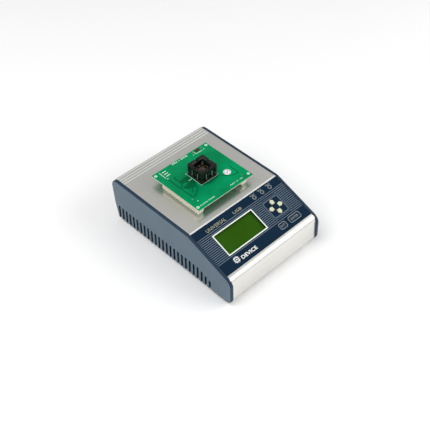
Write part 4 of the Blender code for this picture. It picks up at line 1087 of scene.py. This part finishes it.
SOCKET_HALF = 17.4 * MM
SOCKET_HEIGHT = 22.7 * MM
WINDOW_HALF = 11.4 * MM
FLANGE_TOP = 4.6 * MM
BODY_TOP = 11.0 * MM
SOCKET_BODY_HALF = 14.8 * MM
WELL_HALF = 13.0 * MM
WELL_FLOOR = 2.2 * MM
SKIRT_BOTTOM = 9.2 * MM
SKIRT_INNER = 15.6 * MM
FRAME_BOTTOM = 17.5 * MM
SLOT_SPAN = mm(4.6, 8.2)
SLOT_TOP = 19.6 * MM
POST_TOP = 15.9 * MM
SPRING_AT = 13.2 * MM
SPRING_LOW = 5.5 * MM
SPRING_HIGH = 16.8 * MM
CONTACT_AT = 11.2 * MM
QUARTERS = [Matrix.Rotation(PI_HALF * k, 4, "Z") for k in range(4)]


def four(make):
    """Four copies of a shape, a quarter turn apart."""
    return merged(*(placed(make(), turn) for turn in QUARTERS))


def make_socket_base():
    """The socket's body with its well, spring pockets, guide posts and solder leads."""
    flange = extruded([square(SOCKET_HALF - 0.2 * MM, 1 * MM)], 0.3 * MM, FLANGE_TOP)
    base = solid("socket_body", flange, "socket")
    block = extruded([square(SOCKET_BODY_HALF, 0.6 * MM)], FLANGE_TOP - 0.5 * MM, BODY_TOP)
    carve(base, block, operation="UNION")
    carve(base, extruded([square(WELL_HALF)], WELL_FLOOR, BODY_TOP + MARGIN))
    pockets = [circle(x * SPRING_AT, y * SPRING_AT, 2.4 * MM, 28) for x in (-1, 1) for y in (-1, 1)]
    carve(base, extruded(pockets, FLANGE_TOP + 0.2 * MM, BODY_TOP + 2 * MM))
    notch_span = (-1.6 * MM, 1.6 * MM, SOCKET_HALF - 1.6 * MM, SOCKET_HALF + MARGIN)
    carve(base, four(lambda: box(*notch_span, 1.6 * MM, FLANGE_TOP + MARGIN)))
    spans = [sorted(side * across for across in SLOT_SPAN) for side in (-1, 1)]
    inside, outside = SKIRT_INNER + 0.2 * MM, SKIRT_INNER + 1.1 * MM

    def posts():
        rise = (FLANGE_TOP - 0.4 * MM, POST_TOP)
        return merged(*(box(inside, outside, a + 0.3 * MM, b - 0.3 * MM, *rise) for a, b in spans))

    carve(base, four(posts), operation="UNION")
    base.data.transform(SOCKET)
    keep(base, "adapter", "socket_black", "socket_base", bevel=0.15 * MM)

    def strips():
        rise = (FLANGE_TOP + 0.2 * MM, POST_TOP - 0.5 * MM)
        reach = (outside - 0.1 * MM, outside + 0.15 * MM)
        return merged(*(box(*reach, a + 1.3 * MM, b - 1.3 * MM, *rise) for a, b in spans))

    keep(solid("guide_strips", four(strips), "tin", SOCKET), "adapter", "gold_contact")

    def pins():
        spots = [(k - 3.5) * 2.1 * MM for k in range(8)]
        span = (SOCKET_HALF - 0.1 * MM, SOCKET_HALF + 1.0 * MM, 0.02 * MM, 0.28 * MM)
        return merged(*(box(x - 0.3 * MM, x + 0.3 * MM, *span) for x in spots))

    keep(solid("socket_leads", four(pins), "tin", SOCKET), "adapter", "zinc_steel")


def make_socket_cover():
    """The press-down cover: a chamfered rim, an open window, slots and posts in its skirt."""
    block = extruded([square(SOCKET_HALF, 1.2 * MM)], SKIRT_BOTTOM, SOCKET_HEIGHT)
    cover = solid("press_cover", block, "socket")
    carve(cover, extruded([square(SKIRT_INNER)], SKIRT_BOTTOM - MARGIN, FRAME_BOTTOM))
    carve(cover, extruded([square(WINDOW_HALF, 0.5 * MM)], FRAME_BOTTOM - 2 * MM, SOCKET_HEIGHT + 2 * MM))
    funnel = bmesh.new()
    half = WINDOW_HALF + 1.5 * MM
    bmesh.ops.create_cone(
        funnel, cap_ends=True, segments=4, radius1=(WINDOW_HALF - 0.2 * MM) * math.sqrt(2),
        radius2=(half + 0.3 * MM) * math.sqrt(2), depth=2.0 * MM,
        matrix=Matrix.Translation((0, 0, SOCKET_HEIGHT - 0.8 * MM)) @ Matrix.Rotation(math.pi / 4, 4, "Z"),
    )
    carve(cover, funnel)
    outside = SOCKET_HALF + MARGIN
    groove_rise = (SKIRT_BOTTOM - MARGIN, SOCKET_HEIGHT - 2.2 * MM)

    def openings():
        shapes = []
        for side in (-1, 1):
            a, b = sorted(side * across for across in SLOT_SPAN)
            shapes.append(box(SKIRT_INNER - MARGIN, outside, a, b, SKIRT_BOTTOM - MARGIN, SLOT_TOP))
            a, b = sorted(side * across for across in mm(10.6, 12.0))
            shapes.append(box(SOCKET_HALF - 0.7 * MM, outside, a, b, *groove_rise))
        shapes.append(box(WINDOW_HALF - MARGIN, outside, *mm(-2, 2, 20.8), SOCKET_HEIGHT + MARGIN))
        shapes.append(box(SOCKET_HALF - 0.6 * MM, outside, *mm(-2.6, 2.6, 13.0, 18.6)))
        return merged(*shapes)

    carve(cover, four(openings))
    cover.data.transform(SOCKET)
    keep(cover, "socket_cover", "socket_black", "socket_cover", bevel=0.18 * MM)


def make_seat():
    """The floating seat that a chip lies on: a shallow tray, cut open at its four sides."""
    a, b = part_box("socket_seat")
    low_z, top = a.z - BOARD_TOP, b.z - BOARD_TOP
    half = (b.x - a.x) / 2
    seat = solid("chip_seat", extruded([square(half, 0.5 * MM)], low_z, top), "seat")
    carve(seat, extruded([square(half - 1.4 * MM, 0.3 * MM)], top - 0.9 * MM, top + MARGIN))
    side_cut = (half - 2.2 * MM, half + MARGIN, -1.2 * MM, 1.2 * MM, top - 0.9 * MM, top + MARGIN)
    carve(seat, four(lambda: box(*side_cut)))
    carve(seat, extruded([circle(0, 0, 2.2 * MM)], top - 2.5 * MM, top + MARGIN))
    seat.data.transform(SOCKET)
    keep(seat, "adapter", "socket_black", "socket_seat", bevel=0.15 * MM)


def make_contacts():
    """Four rows of hooked fingers, each row on its own body."""
    inner, thick, reach, top = CONTACT_AT, 0.6 * MM, 2.4 * MM, 11.8 * MM
    foot = WELL_FLOOR + 0.5 * MM
    half = 8.2 * MM
    corners = [
        (inner, foot, 0.0),
        (inner + thick, foot, 0.0),
        (inner + thick, top, 0.8 * MM),
        (inner - reach, top, 0.15 * MM),
        (inner - reach, top - 0.6 * MM, 0.15 * MM),
        (inner, top - 0.6 * MM, 0.25 * MM),
    ]
    outline = rounded(corners, 5)
    count = 16
    pitch = 2 * half / count
    for number, name in enumerate(("right", "rear", "left", "front")):
        shapes = [box(inner, inner + thick, -half, half, foot, foot + 1.6 * MM)]
        for k in range(count):
            y = -half + (k + 0.5) * pitch
            finger = extruded([outline], -0.3 * MM, 0.3 * MM)
            shapes.append(placed(finger, Matrix.Translation((0, y, 0)) @ ALONG_Y))
        comb = placed(merged(*shapes), SOCKET @ QUARTERS[number])
        row = f"contact_row_{name}"
        keep(solid(f"contact_fingers_{name}", comb, "contact"), row, "gold_contact", row)


def coil(wire, radius, turns, per_turn=20, sides=8):
    """A round wire wound about Z between the springs' two ends."""
    bm = bmesh.new()
    rings = []
    for k in range(turns * per_turn + 1):
        angle = 2 * math.pi * k / per_turn
        z = SPRING_LOW + wire + (SPRING_HIGH - SPRING_LOW - 2 * wire) * k / (turns * per_turn)
        out = Vector((math.cos(angle), math.sin(angle), 0))
        spots = [out * (radius + x) + Vector((0, 0, z + y)) for x, y in circle(0, 0, wire, sides)]
        rings.append([bm.verts.new(spot) for spot in spots])
    for a, b in zip(rings, rings[1:]):
        for j in range(sides):
            bm.faces.new((a[j], a[(j + 1) % sides], b[(j + 1) % sides], b[j]))
    bm.faces.new(rings[0][::-1])
    bm.faces.new(rings[-1])
    return bm


def make_springs():
    """Coils in the socket's corners, each with a mesh of its own."""
    corners = [(x * SPRING_AT, y * SPRING_AT) for x in (-1, 1) for y in (-1, 1)]
    for number, corner in enumerate(corners, 1):
        place = SOCKET @ Matrix.Translation((*corner, 0))
        spring = solid(f"coil_{number}", coil(0.35 * MM, 1.5 * MM, 5), "steel", place)
        keep(spring, "adapter", "zinc_steel", f"socket_spring_{number}", sharp=50)
        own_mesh(spring)


# ------------------------------------------------------------------ inside, underneath and behind


def refined(name, node, body, slot, material, bevel):
    """A copy of a CAD node's mesh with its faces merged and its edges rounded."""
    bm = bmesh.new()
    bm.from_mesh(frame["nodes"][node].data)
    bmesh.ops.remove_doubles(bm, verts=bm.verts, dist=0.001 * MM)
    bmesh.ops.dissolve_limit(bm, angle_limit=math.radians(0.5), verts=bm.verts, edges=bm.edges)
    for face in bm.faces:
        face.material_index = 0
    keep(solid(name, bm, material), body, slot, node, bevel=bevel)


def make_feet():
    top = UNDER_Z - CLEAR
    sole = [(4.2, 2.2), (4.2, 0.3), (4.5, 0.0), (5.6, 0.0), (5.7, 0.25), (5.9, 0.25), (6.0, 0.0), (7.2, 0.0)]
    sole += [(7.7, 0.2), (8.0, 0.8), (7.85, top / MM), (1.9, top / MM), (1.9, 2.2)]
    head = [(0.0, 0.9), (1.1, 0.7), (2.6, 0.55), (3.2, 0.8), (3.4, 1.2), (3.4, 1.9)]
    head += [(1.5, 1.9), (1.5, 10.0), (0.0, 10.0)]
    for number in range(1, 5):
        a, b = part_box(f"foot_{number}")
        place = Matrix.Translation(((a.x + b.x) / 2, (a.y + b.y) / 2, 0))
        bm = lathed([mm(*point) for point in [*sole, sole[0]]], 48)
        bmesh.ops.remove_doubles(bm, verts=bm.verts, dist=0.001 * MM)
        foot = solid(f"rubber_foot_{number}", bm, "rubber", place)
        keep(foot, "case", "rubber", f"foot_{number}", sharp=40)
        screw = solid(f"foot_fixing_{number}", lathed([mm(*point) for point in head], 36), "steel")
        for turn in QUARTERS[:2]:
            carve(screw, box(*mm(-1.9, 1.9, -0.35, 0.35, 0, 1.5)), turn)
        screw.data.transform(place)
        keep(screw, "case", "zinc_steel", f"foot_screw_{number}", sharp=35)


def make_rear():
    """The rear panel, its connectors and their plain marks."""
    refined("back_plate", "rear_panel", "case", "brushed_aluminium", "zinc", 0.2 * MM)
    refined("power_inlet", "power_jack", "case", "black_plastic", "black", 0.25 * MM)
    refined("usb_socket", "usb_port", "case", "zinc_steel", "steel", 0.2 * MM)
    refined("switch_frame", "rocker_housing", "case", "black_plastic", "black", 0.25 * MM)
    refined("switch_rocker", "power_rocker", "power_rocker", "black_plastic", "black", 0.4 * MM)
    y = high("rear_panel").y
    turn = Matrix.Translation((0, y, 0)) @ Matrix.Rotation(math.pi, 4, "Z") @ ALONG_Y
    words = (("DC IN", 48, 31, 11), ("USB", 20, 31, 8), ("POWER", 76, 42, 13))
    labels = [lettering(text, *mm(*place, 2.6), -PRINT_ROOT, PRINT) for text, *place in words]
    keep(solid("rear_legends", merged(*labels), "rim", turn), "case", "black_plastic")


def make_insides():
    refined("bottom_plate", "base_plate", "case", "zinc_steel", "zinc", 0.2 * MM)
    for board in ("lcd", "keypad", "driver", "main"):
        paint(f"{board}_board", "board")
    for node, material in (("panel_ribbon", "ribbon"), ("logic_chip", "black"), ("heat_sink", "aluminium")):
        paint(node, material)
    for number in range(1, 5):
        paint(f"standoff_{number}", "steel")


# ------------------------------------------------------------------ studio


def make_floor():
    """A large pale floor under the object."""
    bm = bmesh.new()
    bmesh.ops.create_grid(bm, x_segments=8, y_segments=8, size=6.0)
    floor = solid("studio_floor", bm, "floor")


def facing(name, data, target, azimuth, elevation, distance):
    """A light or camera that faces a point; azimuth 0 is in front of the object, 90 at its right."""
    holder = bpy.data.objects.new(name, data)
    bpy.context.scene.collection.objects.link(holder)
    az, el = math.radians(azimuth), math.radians(elevation)
    away = Vector((math.cos(el) * math.sin(az), -math.cos(el) * math.cos(az), math.sin(el)))
    holder.location = Vector(target) + away * distance
    holder.rotation_euler = away.to_track_quat("Z", "Y").to_euler()
    return holder


def softbox(name, azimuth, elevation, size, watts):
    light = bpy.data.lights.new(name, "AREA")
    light.shape = "RECTANGLE"
    light.size, light.size_y = size
    light.energy = watts
    facing(name, light, LIGHTS_TARGET, azimuth, elevation, LIGHTS_DISTANCE)


def make_studio():
    make_floor()
    world = bpy.data.worlds.new("studio")
    bpy.context.scene.world = world
    world.use_nodes = True
    background = world.node_tree.nodes["Background"]
    background.inputs["Color"].default_value = (1, 1, 1, 1)
    background.inputs["Strength"].default_value = WORLD_STRENGTH
    softbox("overhead", -115, 58, (1.8, 1.8), 27)
    softbox("front_key", 42, 34, (1.8, 1.2), 23)
    softbox("left_fill", -70, 20, (1.2, 1.2), 4)
    camera = bpy.data.cameras.new("camera")
    camera.lens = VIEW_LENS_MM
    camera.sensor_width = SENSOR_MM
    camera.clip_start, camera.clip_end = 0.05, 20  # metres
    view = (VIEW_TARGET, VIEW_AZIMUTH, VIEW_ELEVATION, VIEW_DISTANCE)
    bpy.context.scene.camera = facing("camera", camera, *view)
    bpy.context.scene.view_settings.view_transform = "Standard"


make_studio()
make_case()
make_overlay()
make_display()
make_keys()
make_leds()
make_adapter_board()
make_silk()
make_traces_and_shadow()
make_identity_chip()
make_label()
make_connectors()
make_socket_base()
make_socket_cover()
make_seat()
make_contacts()
make_springs()
make_feet()
make_rear()
make_insides()
